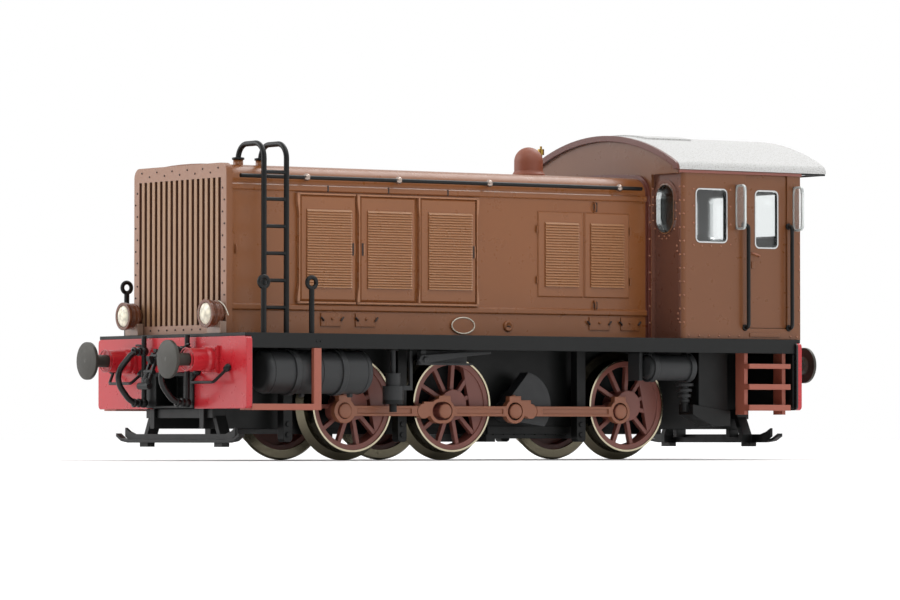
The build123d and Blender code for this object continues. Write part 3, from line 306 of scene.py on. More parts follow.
# painted highlight and painted shade: one nickel, lighter on the tyre faces and darker on the treads
tyre_faces = paired((-40.0, TYRE_FACE_Y - 0.05, 0.0), (40.0, 12.0, 15.0), linear(196, 186, 160))
tanks = paired((-30.0, 11.0, 8.0), (43.0, 17.9, 14.5), linear(52, 53, 54))

body_brown = paint("body_brown", linear(134, 81, 43), rough=0.31, vary=0.05, edge_highlight=1.25, bump=0.02,
                   zones=(cab_room, cab_front_shade, cab_fascia_shade, fascia_rim_shade, *cab_side_shade))
louvre_brown = paint("louvre_brown", linear(138, 86, 50), rough=0.31, vary=0.05, bump=0.02, soften=False,
                     zones=slat_highlights)
# painted highlight: rivets in a paler brown than the paint round them, for the light they catch
rivet_highlight_brown = paint("rivet_highlight_brown", linear(154, 104, 80), rough=0.25, vary=0.05, soften=False)
# painted highlight: door lips and handle rims paler for the light on their edges
lip_highlight_brown = paint("lip_highlight_brown", linear(160, 110, 78), rough=0.28, vary=0.05, soften=False)
console_green = paint("console_green", linear(52, 64, 60), rough=0.4, vary=0.08)
grille_brown = paint("grille_brown", linear(150, 112, 92), rough=0.42, vary=0.05, soften=False,
                     zones=(slot_bars, grille_side, slot_wall_shade))
beam_red = paint("beam_red", linear(186, 32, 42), rough=0.3, vary=0.04, coat=0.3, edge_highlight=1.3, bump=0.03,
                 zones=(beam_back,))
roof_grey = speckled("roof_grey", linear(199, 199, 198), linear(166, 164, 160))
frame_black = paint("frame_black", FRAME_BLACK, rough=0.42, vary=0.12, edge_highlight=1.8, zones=tanks, spec=0.3)
hose_black = paint("hose_black", linear(18, 17, 17), rough=0.3, vary=0.1, spec=0.4)
rail_black = paint("rail_black", linear(12, 14, 14), rough=0.35, vary=0.1, edge_highlight=1.0, spec=0.3)
core_black = paint("core_black", linear(84, 48, 38), rough=0.6, vary=0.2)
lamp_brown = paint("lamp_brown", linear(104, 58, 36), rough=0.22, vary=0.08, coat=0.5, zones=(lamp_feet,))
step_brown = paint("step_brown", linear(160, 88, 70), rough=0.42, vary=0.07, edge_highlight=1.25)
wheel_brown = paint("wheel_brown", linear(132, 78, 68), rough=0.36, vary=0.07, edge_highlight=1.35)
rod_brown = paint("rod_brown", linear(148, 92, 66), rough=0.34, vary=0.07, edge_highlight=1.3)
crank_grey = paint("crank_grey", linear(44, 45, 47), rough=0.45, vary=0.1, zones=pin_ends)
buffer_grey = paint("buffer_grey", linear(60, 58, 53), rough=0.42, vary=0.12, metal=0.4, edge_highlight=1.7)
exhaust_brown = paint("exhaust_brown", linear(140, 78, 56), rough=0.5, vary=0.07)
latch_dark = paint("latch_dark", linear(48, 30, 24), rough=0.5, vary=0.1)
trim_cream = paint("trim_cream", linear(214, 206, 190), rough=0.35, vary=0.05)
# painted highlight: near-white edges of the clear wind deflectors
deflector_edge_highlight = paint("deflector_edge_highlight", linear(226, 230, 228), rough=0.15, vary=0.03, coat=0.6)
lens_cream = faceted_lens("lens_cream", linear(240, 232, 210))
# painted shade on the treads, with the faces lighter through the zone
tyre_nickel = turned_metal("tyre_nickel", linear(112, 106, 90), 0.2, (1, 40, 1), 2500.0, tyre_faces)
axle_steel = turned_metal("axle_steel", linear(180, 180, 180), 0.3)
window_chrome = turned_metal("window_chrome", linear(214, 216, 216), 0.2)
whistle_brass = turned_metal("whistle_brass", linear(196, 160, 80), 0.25)
weight_metal = turned_metal("weight_metal", linear(120, 120, 120), 0.45)
knob_nickel = turned_metal("knob_nickel", linear(176, 160, 150), 0.25)
window_glass = clear("window_glass", (0.95, 0.97, 0.97, 1.0))
deflector_glass = clear("deflector_glass", (0.94, 0.96, 0.96, 1.0), rough=0.06, through=0.88)
lamp_glass = clear("lamp_glass", (1.0, 0.99, 0.95, 1.0), rough=0.05)

SLOTS = {
    "body_brown": body_brown, "grille_brown": grille_brown, "beam_red": beam_red,
    "roof_grey": roof_grey, "frame_black": frame_black, "hose_black": hose_black,
    "rail_black": rail_black, "core_black": core_black, "lamp_brown": lamp_brown,
    "lamp_glass": lamp_glass, "window_glass": window_glass, "deflector_glass": deflector_glass,
    "window_chrome": window_chrome, "exhaust_brown": exhaust_brown, "whistle_brass": whistle_brass,
    "step_brown": step_brown, "wheel_brown": wheel_brown, "rod_brown": rod_brown,
    "crank_grey": crank_grey, "tyre_nickel": tyre_nickel, "axle_steel": axle_steel,
    "buffer_grey": buffer_grey, "weight_metal": weight_metal,
}
slot_of = {row["node"]: row["material_slot"] for row in frame["record"]["subparts"]}
LOUVRED = ("engine_doors", "engine_end_doors")
for name, node in nodes.items():
    for slot in node.material_slots:
        slot.material = louvre_brown if name in LOUVRED else SLOTS[slot_of[name]]


# Helpers for the small pieces, all in mm

def new_piece(name, data, material, body=ROOT):
    data.materials.append(material)
    piece = bpy.data.objects.new(name, data)
    bpy.context.scene.collection.objects.link(piece)
    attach(piece, body)
    return piece


def mesh_piece(name, bm, material, body=ROOT):
    mesh = bpy.data.meshes.new(name)
    bmesh.ops.remove_doubles(bm, verts=bm.verts, dist=1e-7)
    bmesh.ops.recalc_face_normals(bm, faces=bm.faces)
    bm.to_mesh(mesh)
    bm.free()
    return new_piece(name, mesh, material, body)


def add_lathe(bm, profile, place, axis, segments=16, smooth=True):
    """Turn rows of (radius, height) about an axis through place."""
    turn = Vector(axis).to_track_quat("Z", "Y")
    origin = Vector(place)
    rings = []
    for radius, height in profile:
        count = 1 if radius == 0 else segments
        ring = []
        for k in range(count):
            angle = 2 * math.pi * k / count
            spot = Vector((radius * math.cos(angle), radius * math.sin(angle), height))
            ring.append(bm.verts.new((origin + turn @ spot) * MM))
        rings.append(ring)
    for low, high in zip(rings, rings[1:]):
        for k in range(segments):
            corners = [low[k % len(low)], low[(k + 1) % len(low)],
                       high[(k + 1) % len(high)], high[k % len(high)]]
            face = bm.faces.new(list(dict.fromkeys(corners)))
            face.smooth = smooth


def add_ball(bm, place, radius):
    steps = 8
    rows = [(radius * math.sin(math.pi * k / steps), -radius * math.cos(math.pi * k / steps))
            for k in range(1, steps)]
    add_lathe(bm, [(0, -radius), *rows, (0, radius)], place, (0, 0, 1), 14)


def add_ring(bm, place, axis, radius, section, segments=40):
    rows = [(radius + section * math.cos(math.pi * k / 4), section * math.sin(math.pi * k / 4))
            for k in range(9)]
    add_lathe(bm, rows, place, axis, segments)


def add_rivet(bm, place, facing, radius=0.17):
    rows = ((radius, -0.05), (radius, 0.4 * radius), (0.7 * radius, 0.8 * radius), (0, 0.95 * radius))
    add_lathe(bm, rows, place, facing, 8)


def add_bolt(bm, place, facing, radius=0.22, height=0.22):
    rows = ((radius, -0.05), (radius, 0.7 * height), (0.75 * radius, height), (0, height))
    add_lathe(bm, rows, place, facing, 6, smooth=False)


def add_block(bm, low, high, bevel=0.06):
    """A block between two corners with softened edges."""
    low, high = Vector(low), Vector(high)
    size = (high - low) * MM
    place = Matrix.Translation((low + high) / 2 * MM) @ Matrix.Diagonal((*size, 1.0))
    made = bmesh.ops.create_cube(bm, size=1.0, matrix=place)["verts"]
    edges = {edge for vert in made for edge in vert.link_edges}
    bmesh.ops.bevel(bm, geom=list(edges), offset=bevel * MM, segments=2, affect="EDGES", profile=0.5)


def add_plate(bm, outline, y0, y1):
    """A flat piece with its outline of (x, z) corners, between two y values."""
    near = [bm.verts.new(Vector((x, y1, z)) * MM) for x, z in outline]
    far = [bm.verts.new(Vector((x, y0, z)) * MM) for x, z in outline]
    bm.faces.new(near)
    bm.faces.new(far[::-1])
    for k in range(len(outline)):
        following = (k + 1) % len(outline)
        bm.faces.new((near[k], far[k], far[following], near[following]))


def wire(name, paths, radius, material, body=ROOT, closed=False):
    """Round wires through control points."""
    curve = bpy.data.curves.new(name, "CURVE")
    curve.dimensions = "3D"
    curve.bevel_depth = radius * MM
    curve.bevel_resolution = 3
    curve.use_fill_caps = True
    for path in paths:
        spline = curve.splines.new("NURBS")
        spline.points.add(len(path) - 1)
        for point, place in zip(spline.points, path):
            point.co = (*(v * MM for v in place), 1.0)
        spline.order_u = 3
        spline.use_cyclic_u = closed
        spline.use_endpoint_u = not closed
        spline.resolution_u = 6
    return new_piece(name, curve, material, body)


SIDES = (1, -1)
FORWARD = (1, 0, 0)
UP = (0, 0, 1)

# Faces of the solids that the small pieces sit on, in mm
HOOD_Y = 10.7
HOOD_DOOR_Y = 11.15
WALL_Y = 17.3
WALL_X = -25.5
REAR_X = -46.2
GRILLE_X = 44.7
DECK_Y = 18.0
ROD_PIN_Y = 11.75
# Face of each end beam, and the way it looks
BEAMS = ((46.0, 1), (-45.6, -1))


# Rivets on the grille, the hood moulding and the cab

def rivets(name, rows, material, radius=0.17):
    bm = bmesh.new()
    for x, y, z, facing in rows:
        add_rivet(bm, (x, y, z), facing, radius)
    mesh_piece(name, bm, material)


def sideways(rows):
    return [(x, side * y, z, (0, side, 0)) for x, y, z in rows for side in SIDES]


# Grille: two staggered rows above the slots, a zigzag beside them and a row below
TOP_PITCH = 3.77
ZIGZAG = (0.22, -0.22)
grille_rows = [(GRILLE_X, -9.4 + TOP_PITCH * k, 38.2, FORWARD) for k in range(6)]
grille_rows += [(GRILLE_X, -7.5 + TOP_PITCH * k, 37.65, FORWARD) for k in range(5)]
grille_rows += [(GRILLE_X, side * (10.75 + ZIGZAG[k % 2]), 18.5 + 1.55 * k, FORWARD)
                for k in range(12) for side in SIDES]
grille_rows += [(GRILLE_X, -9.225 + 2.05 * k, 17.2, FORWARD) for k in range(10)]
rivets("grille_rivets", grille_rows, latch_dark, 0.13)

# Cab front: up the moulding beside the hood, round its curve, and round the oblong window
moulding_rows = sideways([(-24.55, 11.2, 18.8 + 2.31 * k) for k in range(8)])
moulding_rows += sideways([(x, 11.3, z) for x, z in (
    (-25.07, 37.26), (-25.07, 36.14), (-25.07, 35.07), (-25.07, 33.94), (-25.07, 32.89), (-25.42, 31.82))])
moulding_rows += [(WALL_X, side * y, z, FORWARD) for side in SIDES for y, z in (
    (12.13, 30.75), (13.35, 30.7), (14.43, 30.75), (15.6, 31.6), (16.0, 33.0), (16.0, 34.15),
    (16.0, 35.2), (16.0, 36.3), (12.82, 30.34), (13.83, 30.37), (16.15, 29.29), (16.22, 28.58),
    (16.37, 20.01), (16.41, 19.24))]
rivets("cab_front_rivets", moulding_rows, rivet_highlight_brown, 0.16)

# Cab sides: both edges of the rounded front corner, round the window, along the foot and up the rear
CORNER_EDGES = ((-25.527, 16.75, 0.96, 0.27), (-25.875, 17.2, 0.5, 0.866))
CORNER_ROWS = 11
REAR_PITCH = 1.87
corner_rows = [(x, side * y, 18.8 + 1.86 * k, (nx, side * ny, 0))
               for x, y, nx, ny in CORNER_EDGES for k in range(CORNER_ROWS) for side in SIDES]
wall_rows = [(-27.47, WALL_Y, z) for z in (37.1, 34.8, 32.45, 29.4)]
wall_rows += [(-33.87, WALL_Y, z) for z in (37.1, 34.8, 32.35, 29.6)]
wall_rows += [(x, WALL_Y, 29.35) for x in (-28.9, -30.5, -32.2)]
wall_rows += [(x, WALL_Y, 17.0) for x in (-26.6, -28.4, -30.16, -31.88, -33.66, -35.4, -44.46, -45.54)]
wall_rows += [(-46.0, WALL_Y, 18.8 + REAR_PITCH * k) for k in range(CORNER_ROWS)]
rear_rows = [(REAR_X, side * 16.9, 18.8 + REAR_PITCH * k, (-1, 0, 0))
             for k in range(CORNER_ROWS) for side in SIDES]
rivets("cab_side_rivets", corner_rows + sideways(wall_rows) + rear_rows, rivet_highlight_brown, 0.15)


# Fittings on the hood

# Toggles at both ends of each hatch: x and the way it leans
TOGGLES = ((29.33, 1), (26.21, -1), (23.83, 1), (20.74, -1), (-14.3, 1), (-17.95, -1), (-19.8, 1),
           (-23.0, -1))
TOGGLE_LEAN = 0.22
paths = []
for side in SIDES:
    for x, lean in TOGGLES:
        paths.append([(x + TOGGLE_LEAN * lean, side * 10.93, 18.9), (x, side * 11.02, 18.7),
                      (x - TOGGLE_LEAN * lean, side * 10.93, 18.45)])
wire("hatch_toggles", paths, 0.13, latch_dark)
rivets("hatch_pins", sideways([(x, HOOD_Y + 0.15, 18.7) for x in (27.73, 22.33, -16.2, -21.4)]),
       body_brown, 0.2)

# Dark blocks: painted shade in the recesses of the rear doors' latches and the front doors' handles, and
# the dark joints of the rain strip
REAR_LATCH_X = -15.65
STRIP_Y = 10.9
STRIP_JOINTS = (28.5, 18.82, 9.19)
DOOR_HANDLES = (24.63, 23.11, 5.09)
bm = bmesh.new()
for side in SIDES:
    for low, high in ((33.9, 35.15), (20.5, 21.6)):
        add_block(bm, (REAR_LATCH_X - 0.3, side * HOOD_Y - 0.05, low),
                  (REAR_LATCH_X + 0.3, side * HOOD_Y + 0.07, high), 0.04)
    for x in STRIP_JOINTS:
        add_block(bm, (x - 0.13, side * STRIP_Y - 0.12, 35.42),
                  (x + 0.13, side * STRIP_Y + 0.12, 36.23), 0.03)
    for x in DOOR_HANDLES:
        add_block(bm, (x - 0.13, side * HOOD_DOOR_Y - 0.06, 27.1),
                  (x + 0.13, side * HOOD_DOOR_Y + 0.06, 28.75), 0.03)
mesh_piece("latch_recesses", bm, latch_dark)

# Lips round the raised doors, in a paler brown that is painted highlight: one frame round the first door
# and one round the other two.
# The upright ones flare out towards their ends.
LIP_FOOT_Y = 10.65
LIP_FACE_Y = 11.22
LIP_FRAMES = ((33.45, 24.2), (23.95, 4.2))
LIP_FLARES = ((33.1, 0.35), (23.6, 0.35), (13.9, 0.2), (4.5, -0.3))
bm = bmesh.new()
for side in SIDES:
    inner, outer = sorted((side * LIP_FOOT_Y, side * LIP_FACE_Y))
    for x0, x1 in LIP_FRAMES:
        for low, high in ((20.66, 20.92), (34.98, 35.2)):
            add_block(bm, (x1, inner, low), (x0, outer, high), 0.04)
    for x, flare in LIP_FLARES:
        root = x - math.copysign(0.05, flare)
        waist = x + 0.25 * flare
        end = x + flare
        add_plate(bm, ((root, 20.8), (end, 20.8), (end, 21.5), (waist, 23.2), (waist, 32.4), (end, 34.2),
                       (end, 35.05), (root, 35.05)), inner, outer)
mesh_piece("door_lips", bm, lip_highlight_brown)
wire("door_handle_rims", [[(x - 0.24, side * HOOD_DOOR_Y, z) for z in (28.7, 27.9, 27.15)]
                          for x in DOOR_HANDLES for side in SIDES], 0.1, lip_highlight_brown)

# Latches of the rear doors, their hinges, and the handle of the grille's frame
LATCH_X = -15.35
HINGES_X = (-5.67, -21.45)
FRAME_HANDLE_X = 42.84
ROOT_Y = 10.75
paths = []
for side in SIDES:
    for z in (34.5, 21.05):
        paths.append([(LATCH_X, side * y, z + dz) for y, dz in (
            (ROOT_Y, -0.6), (11.15, -0.5), (11.15, 0.5), (ROOT_Y, 0.6))])
    for x in HINGES_X:
        for z in (31.3, 24.4):
            paths.append([(x, side * 10.85, z - 0.5), (x, side * 11.0, z), (x, side * 10.85, z + 0.5)])
    paths.append([(FRAME_HANDLE_X, side * y, z) for y, z in (
        (ROOT_Y, 28.2), (11.0, 27.9), (11.0, 27.4), (ROOT_Y, 27.1))])
wire("door_latches", paths, 0.12, body_brown)

# Rim of the blank oval plate
PLATE_X = 6.65
PLATE_Z = 18.06
PLATE_POINTS = 24
rims = []
for side in SIDES:
    turns = [2 * math.pi * k / PLATE_POINTS for k in range(PLATE_POINTS)]
    rims.append([(PLATE_X + 1.87 * math.cos(turn), side * 10.93, PLATE_Z + 1.08 * math.sin(turn))
                 for turn in turns])
wire("oval_plate_rims", rims, 0.09, trim_cream, closed=True)

FILLER_X = -0.86
FILLER_Z = 18.04
bm = bmesh.new()
for side in SIDES:
    add_lathe(bm, ((0.74, -0.05), (0.74, 0.16), (0.6, 0.3), (0.5, 0.3), (0.42, 0.22), (0, 0.22)),
              (FILLER_X, side * HOOD_Y, FILLER_Z), (0, side, 0), 24)
mesh_piece("filler_caps", bm, body_brown)
# painted shade: a dark line for the slot across each cap
wire("filler_cap_slots", [[(FILLER_X - 0.29, side * 10.94, FILLER_Z - 0.04),
                           (FILLER_X, side * 10.95, FILLER_Z),
                           (FILLER_X + 0.29, side * 10.94, FILLER_Z + 0.04)] for side in SIDES],
     0.08, latch_dark)

HANDRAIL_KNOBS = (32.25, 17.6, 2.8, -19.1)
bm = bmesh.new()
for x in HANDRAIL_KNOBS:
    for side in SIDES:
        add_ball(bm, (x, side * 11.55, 37.2), 0.52)
mesh_piece("handrail_balls", bm, knob_nickel)

# Ladder hooks: a dark collar on a brown peg where each hook meets the hood
LADDER_X = (40.8, 37.3)
LADDER_HOOK_Y = 8.2
bm = bmesh.new()
pegs = bmesh.new()
for x in LADDER_X:
    add_lathe(bm, ((0, 39.75), (0.5, 39.75), (0.82, 39.68), (0.82, 39.42), (0.6, 39.36), (0, 39.36)),
              (x, LADDER_HOOK_Y, 0), UP, 20)
    add_lathe(pegs, ((0.66, 38.5), (0.66, 39.38), (0, 39.38)), (x, LADDER_HOOK_Y, 0), UP, 20)
mesh_piece("ladder_collars", bm, rail_black)
mesh_piece("ladder_pegs", pegs, body_brown)


# Headlamps

LAMP_Y = 10.2
LAMP_Z = 19.15
LENS_X = 47.04
DRUM_REAR_X = 45.0
# Ribs round each lamp's drum: x and radius
LAMP_RIBS = ((46.62, 1.7), (46.4, 1.68), (46.18, 1.66))
lenses = bmesh.new()
drums = bmesh.new()
for side in SIDES:
    centre = (LENS_X, side * LAMP_Y, LAMP_Z)
    add_lathe(lenses, ((1.43, 0), (1.36, 0.12), (1.1, 0.24), (0.7, 0.34), (0.3, 0.39), (0, 0.4)),
              centre, FORWARD, 32)
    for x, radius in LAMP_RIBS:
        add_ring(drums, (x, side * LAMP_Y, LAMP_Z), FORWARD, radius, 0.07)
    add_lathe(drums, ((1.3, 0.05), (1.15, -0.25), (0.6, -0.45), (0, -0.5)),
              (DRUM_REAR_X, side * LAMP_Y, LAMP_Z), FORWARD, 28)
mesh_piece("lamp_lens_domes", lenses, lens_cream)
mesh_piece("lamp_ribs", drums, lamp_brown)
wire("lamp_clips", [[(45.6, side * 10.9, 20.82), (45.25, side * 11.45, 20.5), (44.95, side * 11.95, 19.6),
                     (44.75, side * 12.05, 18.9)] for side in SIDES], 0.08, trim_cream)


# Buffers, hoses and couplings

BUFFER_Y = 10.06
BUFFER_Z = 13.17
FLANGE_BOLT = 1.42
FLANGE_THICKNESS = 0.4
SLEEVE_END = 4.1
SLEEVE_RADIUS = 1.47
HOSE_Y = 5.35
HOSE_ENDS_Z = (14.4, 7.6)
GRIP_ENDS = ((6.9, 11.7), (14.2, 12.2))
COUPLING_EYE_AHEAD = 2.5
COUPLING_EYE_Z = 13.67
THREAD_START = 2.45
THREAD_PITCH = 0.24
HOOK_BOLT = 0.95
bolts = bmesh.new()
collars = bmesh.new()
plungers = bmesh.new()
threads = bmesh.new()
levers = []
taps = []
COUPLING_LEAN = math.radians(22.0)
for beam_x, ahead in BEAMS:
    facing = (ahead, 0, 0)
    for side in SIDES:
        for dy in (-FLANGE_BOLT, FLANGE_BOLT):
            for dz in (-FLANGE_BOLT, FLANGE_BOLT):
                add_bolt(bolts, (beam_x + FLANGE_THICKNESS * ahead, side * BUFFER_Y + dy, BUFFER_Z + dz),
                         facing)
        mouth = beam_x + (SLEEVE_END - 0.1) * ahead
        add_ring(bolts, (mouth, side * BUFFER_Y, BUFFER_Z), FORWARD, SLEEVE_RADIUS, 0.09)
        for z in HOSE_ENDS_Z:
            for reach in (1.55, 2.25):
                add_lathe(collars, ((0.38, 0), (0.6, 0.04), (0.6, 0.28), (0.38, 0.32)),
                          (beam_x + reach * ahead, side * HOSE_Y, z), facing, 18)
        for z, radius in ((14.42, 0.72), (7.6, 0.66)):
            add_ball(collars, (beam_x + 0.95 * ahead, side * HOSE_Y, z), radius)
        taps.append([(beam_x + 1.0 * ahead, side * HOSE_Y, 14.9), (beam_x + 1.2 * ahead, side * 5.6, 15.3),
                     (beam_x + 1.3 * ahead, side * 6.6, 15.2)])
        for y, z in GRIP_ENDS:
            add_lathe(plungers, ((0.5, 0), (0.5, 0.25), (0.36, 0.8), (0, 0.8)),
                      (beam_x, side * y, z), (ahead, 0, -0.6), 16)
    hang = Vector((beam_x + COUPLING_EYE_AHEAD * ahead, 0, COUPLING_EYE_Z))
    down = Vector((ahead * math.sin(COUPLING_LEAN), 0, -math.cos(COUPLING_LEAN)))
    for k in range(7):
        add_ring(threads, hang + down * (THREAD_START + THREAD_PITCH * k), down, 0.36, 0.07, 18)
    grip_end = hang + down * 3.3 + Vector((ahead * 0.9, 1.7, -0.2))
    levers.append([tuple(hang + down * 3.2), tuple(hang + down * 3.3 + Vector((ahead * 0.5, 0.9, 0.1))),
                   tuple(grip_end)])
    add_ball(threads, grip_end, 0.42)
    for y in (-HOOK_BOLT, HOOK_BOLT):
        for z in (-HOOK_BOLT, HOOK_BOLT):
            add_bolt(threads, (beam_x + 0.3 * ahead, y, 13.57 + z), facing, 0.2, 0.18)
mesh_piece("buffer_fittings", bolts, beam_red)
mesh_piece("hose_couplings", collars, hose_black)
mesh_piece("grip_feet", plungers, rail_black)
mesh_piece("coupling_threads", threads, frame_black)
wire("coupling_levers", levers, 0.17, frame_black)
wire("hose_taps", taps, 0.16, hose_black)

# Dark plate behind the rear beam on both sides of the coupler
bm = bmesh.new()
for side in SIDES:
    low, high = sorted((side * 5.95, side * 17.9))
    add_block(bm, (-44.68, low, 7.0), (-44.36, high, 14.6))
mesh_piece("rear_beam_backing", bm, frame_black)


# Cab trim

# Brown strip under the eaves, and a dark edge under the roof's rear overhang
OVERHANG_X = -46.3
EAVE_Z = 39.72
bm = bmesh.new()
for side in SIDES:
    low, high = sorted((side * 17.28, side * 17.58))
    add_block(bm, (OVERHANG_X, low, 39.3), (-24.85, high, EAVE_Z))
mesh_piece("eave_strips", bm, wheel_brown)
bm = bmesh.new()
for side in SIDES:
    low, high = sorted((side * WALL_Y, side * 17.62))
    add_block(bm, (-50.45, low, 39.5), (OVERHANG_X, high, EAVE_Z + 0.02))
add_block(bm, (-50.47, -17.6, 39.5), (-50.15, 17.6, EAVE_Z + 0.02))
mesh_piece("overhang_edge", bm, frame_black)

# Plain cabinet inside, which shows as the dark of the oblong windows
bm = bmesh.new()
add_block(bm, (-31.5, -9.0, 17.6), (-28.2, 9.0, 36.6), 0.3)
add_block(bm, (-32.2, -7.6, 27.5), (-31.3, 7.6, 30.5), 0.2)
mesh_piece("cab_console", bm, console_green)

# Sill of each door and a small block below its handle
bm = bmesh.new()
for side in SIDES:
    low, high = sorted((side * 17.28, side * 17.42))
    add_block(bm, (-42.4, low, 16.9), (-37.2, high, 17.5), 0.04)
    low, high = sorted((side * 17.08, side * 17.22))
    add_block(bm, (-38.25, low, 26.4), (-37.7, high, 27.35), 0.04)
mesh_piece("door_trim", bm, body_brown)
wire("door_handles", [[(-37.6, side * 17.1, 28.5), (-37.6, side * 17.5, 28.5),
                       (-38.3, side * 17.52, 28.35), (-39.0, side * 17.5, 28.12),
                       (-39.0, side * 17.1, 28.1)] for side in SIDES],
     0.13, rod_brown)
CAB_RAILS_X = (-36.4, -44.1)
bm = bmesh.new()
for x in CAB_RAILS_X:
    for z in (18.2, 32.3):
        for side in SIDES:
            add_lathe(bm, ((0.46, -0.02), (0.46, 0.12), (0.34, 0.24), (0, 0.24)), (x, side * WALL_Y, z),
                      (0, side, 0), 18)
mesh_piece("handrail_feet", bm, rail_black)

# Bright edge round each wind deflector, a painted highlight along the clear blade's edge
DEFLECTORS_X = (-34.95, -45.05)
DEFLECTOR_LOW = 31.78
DEFLECTOR_MIDDLE = 34.7
DEFLECTOR_HIGH = 37.72
blade_edges = []
for x in DEFLECTORS_X:
    for side in SIDES:
        near, far = side * 17.36, side * 19.24
        half_way = (near + far) / 2
        blade_edges.append([(x, y, z) for y, z in (
            (near, DEFLECTOR_LOW), (near, DEFLECTOR_MIDDLE), (near, DEFLECTOR_HIGH),
            (half_way, DEFLECTOR_HIGH), (far, DEFLECTOR_HIGH), (far, DEFLECTOR_MIDDLE),
            (far, DEFLECTOR_LOW), (half_way, DEFLECTOR_LOW))])
wire("deflector_edges", blade_edges, 0.17, deflector_edge_highlight, closed=True)


# Under the deck

# Seams round the air tanks (y, z, radius and the seams' x), drain plugs below them, two rivets on the
# valance and a row along the keeper plate
TANK_SEAMS = ((14.75, 11.6, 2.86, (40.9, 33.4, 26.4)), (14.9, 12.6, 1.76, (-21.6, -28.3)))
KEEPER_PITCH = 1.75
bm = bmesh.new()
for y, z, radius, seams in TANK_SEAMS:
    for side in SIDES:
        for x in seams:
            add_ring(bm, (x, side * y, z), FORWARD, radius, 0.08)
for side in SIDES:
    for x in (35.2, 27.6):
        add_bolt(bm, (x, side * 14.75, 8.8), (0, 0, -1), 0.45, 0.5)
    for x in (34.9, 34.3):
        add_rivet(bm, (x, side * DECK_Y, 15.55), (0, side, 0), 0.14)
    for k in range(9):
        add_rivet(bm, (-1.4 - KEEPER_PITCH * k, side * 6.62, 3.55), (0, side, 0), 0.2)
mesh_piece("underframe_details", bm, frame_black)

# Brake lever and guide above the second wheelset, which the plain pipe stands for in the solids, with
# a hanger, a bolt and a plate behind
HANGER_X = 15.9
bm = bmesh.new()
for side in SIDES:
    inner, outer = sorted((side * 14.7, side * 15.3))
    add_plate(bm, ((16.5, 12.75), (16.9, 13.3), (16.5, 13.95), (10.0, 14.35), (5.2, 14.5), (5.2, 14.2),
                   (10.0, 13.75)), inner, outer)
    inner, outer = sorted((side * 14.3, side * 15.0))
    add_block(bm, (8.0, inner, 12.65), (16.7, outer, 12.95), 0.05)
    add_block(bm, (HANGER_X - 0.4, side * 14.65 - 0.3, 12.7),
              (HANGER_X + 0.4, side * 14.65 + 0.3, 16.1), 0.08)
    inner, outer = sorted((side * 13.4, side * 13.7))
    add_block(bm, (8.0, inner, 12.95), (HANGER_X, outer, 14.65), 0.05)
    add_bolt(bm, (HANGER_X, side * 15.3, 13.35), (0, side, 0), 0.42, 0.3)
lever = mesh_piece("brake_levers", bm, frame_black)
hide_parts("side_pipes")


# Rods: lids on the oil pots and washers over the crank pins, which travel with the rods

SHAFTS_X = (23.9, 7.8, -3.8, -21.5)
# Body, side, and where its crank pins stand at rest: how far ahead of their shafts, and how high
ROD_SETS = (("left_rods", 1, 2.349, 6.565), ("right_rods", -1, 0.855, 9.769))
for body, side, dx, pin_z in ROD_SETS:
    bm = bmesh.new()
    for x in SHAFTS_X:
        add_bolt(bm, (x + dx, side * 11.2, pin_z + 2.05), UP, 0.3, 0.16)
        add_lathe(bm, ((0.99, -0.04), (0.99, 0.06), (0.88, 0.13), (0.3, 0.16), (0, 0.16)),
                  (x + dx, side * ROD_PIN_Y, pin_z), (0, side, 0), 28)
    mesh_piece(f"{body}_fittings", bm, rod_brown, body)


# Camera, from the sizes of the model as the photograph shows them

YAW = math.radians(35.061)
PITCH = math.radians(1.505)
EYE = Vector((412.34, 585.92, 3.0)) * MM
FOCAL_PX = 5244.7
IMAGE_WIDTH_PX = 900
SENSOR_MM = 36.0

look = Vector((-math.sin(YAW) * math.cos(PITCH), -math.cos(YAW) * math.cos(PITCH), math.sin(PITCH)))
camera_data = bpy.data.cameras.new("camera")
camera_data.sensor_fit = "HORIZONTAL"
camera_data.sensor_width = SENSOR_MM
camera_data.lens = FOCAL_PX / IMAGE_WIDTH_PX * SENSOR_MM
camera_data.clip_start = 0.01
camera_data.clip_end = 50.0
camera = bpy.data.objects.new("camera", camera_data)
camera.location = EYE
camera.rotation_euler = look.to_track_quat("-Z", "Y").to_euler()
bpy.context.scene.collection.objects.link(camera)
bpy.context.scene.camera = camera


# Stage and light

CENTRE = Vector((0.0, 0.0, 0.02))
FLOOR_HALF_SIZE = 4.0
# The floor's glow sets in between these distances from the middle, in metres
GLOW_START = 0.4
GLOW_END = 0.9
# Where the photograph was taken from, which is the darker side of the world
DARK_SIDE = (0.60, 0.80, 0.05)
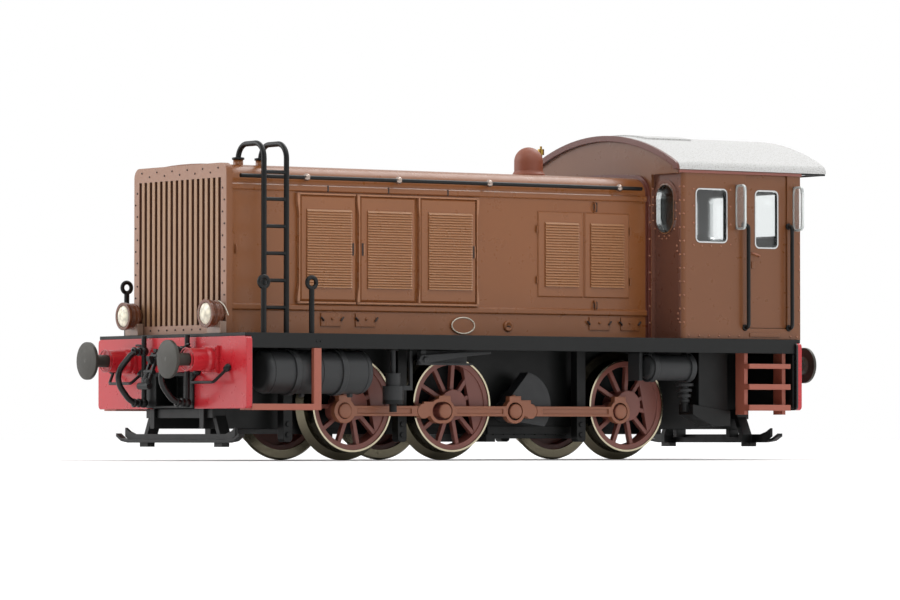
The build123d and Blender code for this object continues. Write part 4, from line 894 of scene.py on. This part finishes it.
# Name, place, width and height in metres, and power in watts
LIGHTS = (
    ("key", (0.42, -0.40, 0.26), (0.35, 0.35), 1.15),
    ("top", (-0.44, -0.12, 0.60), (0.45, 0.45), 2.1),
    ("front_top", (0.15, 0.40, 0.62), (0.6, 0.4), 1.3),
    ("side", (0.05, 0.70, 0.30), (0.6, 0.3), 0.5),
)


def area_light(name, place, size, power):
    data = bpy.data.lights.new(name, "AREA")
    data.shape = "RECTANGLE"
    data.size, data.size_y = size
    data.energy = power
    light = bpy.data.objects.new(name, data)
    light.location = Vector(place)
    light.rotation_euler = (CENTRE - Vector(place)).to_track_quat("-Z", "Y").to_euler()
    bpy.context.scene.collection.objects.link(light)


def stage_floor():
    """Pale floor, which glows far out, where the lights don't reach."""
    size = FLOOR_HALF_SIZE
    mesh = bpy.data.meshes.new("floor")
    corners = [(-size, -size, 0), (size, -size, 0), (size, size, 0), (-size, size, 0)]
    mesh.from_pydata(corners, [], [(0, 1, 2, 3)])
    floor = bpy.data.objects.new("floor", mesh)
    bpy.context.scene.collection.objects.link(floor)
    material, tree, shader = new_material("floor_pale")
    soft = noise(tree, coordinates(tree), 3.0, 2.0)
    tree.links.new(ramp(tree, soft, grey(0.88), grey(0.91)), shader.inputs["Base Color"])
    shader.inputs["Roughness"].default_value = 0.7
    far = vector_math(tree, "LENGTH", coordinates(tree)).outputs["Value"]
    tree.links.new(ramp(tree, far, grey(0.0), grey(0.4), GLOW_START, GLOW_END),
                   shader.inputs["Emission Color"])
    shader.inputs["Emission Strength"].default_value = 1.0
    mesh.materials.append(material)


def studio_world():
    """White all round, and darker on the side that the photograph was taken from."""
    world = bpy.data.worlds.new("world")
    bpy.context.scene.world = world
    world.use_nodes = True
    tree = world.node_tree
    sky = tree.nodes["Background"]
    direction = tree.nodes.new("ShaderNodeTexCoord").outputs["Generated"]
    facing = vector_math(tree, "DOT_PRODUCT", direction, DARK_SIDE).outputs["Value"]
    tree.links.new(ramp(tree, facing, grey(1.0), grey(0.22), 0.3, 0.85), sky.inputs["Color"])
    sky.inputs["Strength"].default_value = 1.0


stage_floor()
studio_world()
for name, place, size, power in LIGHTS:
    area_light(name, place, size, power)
bpy.context.scene.view_settings.view_transform = "Standard"
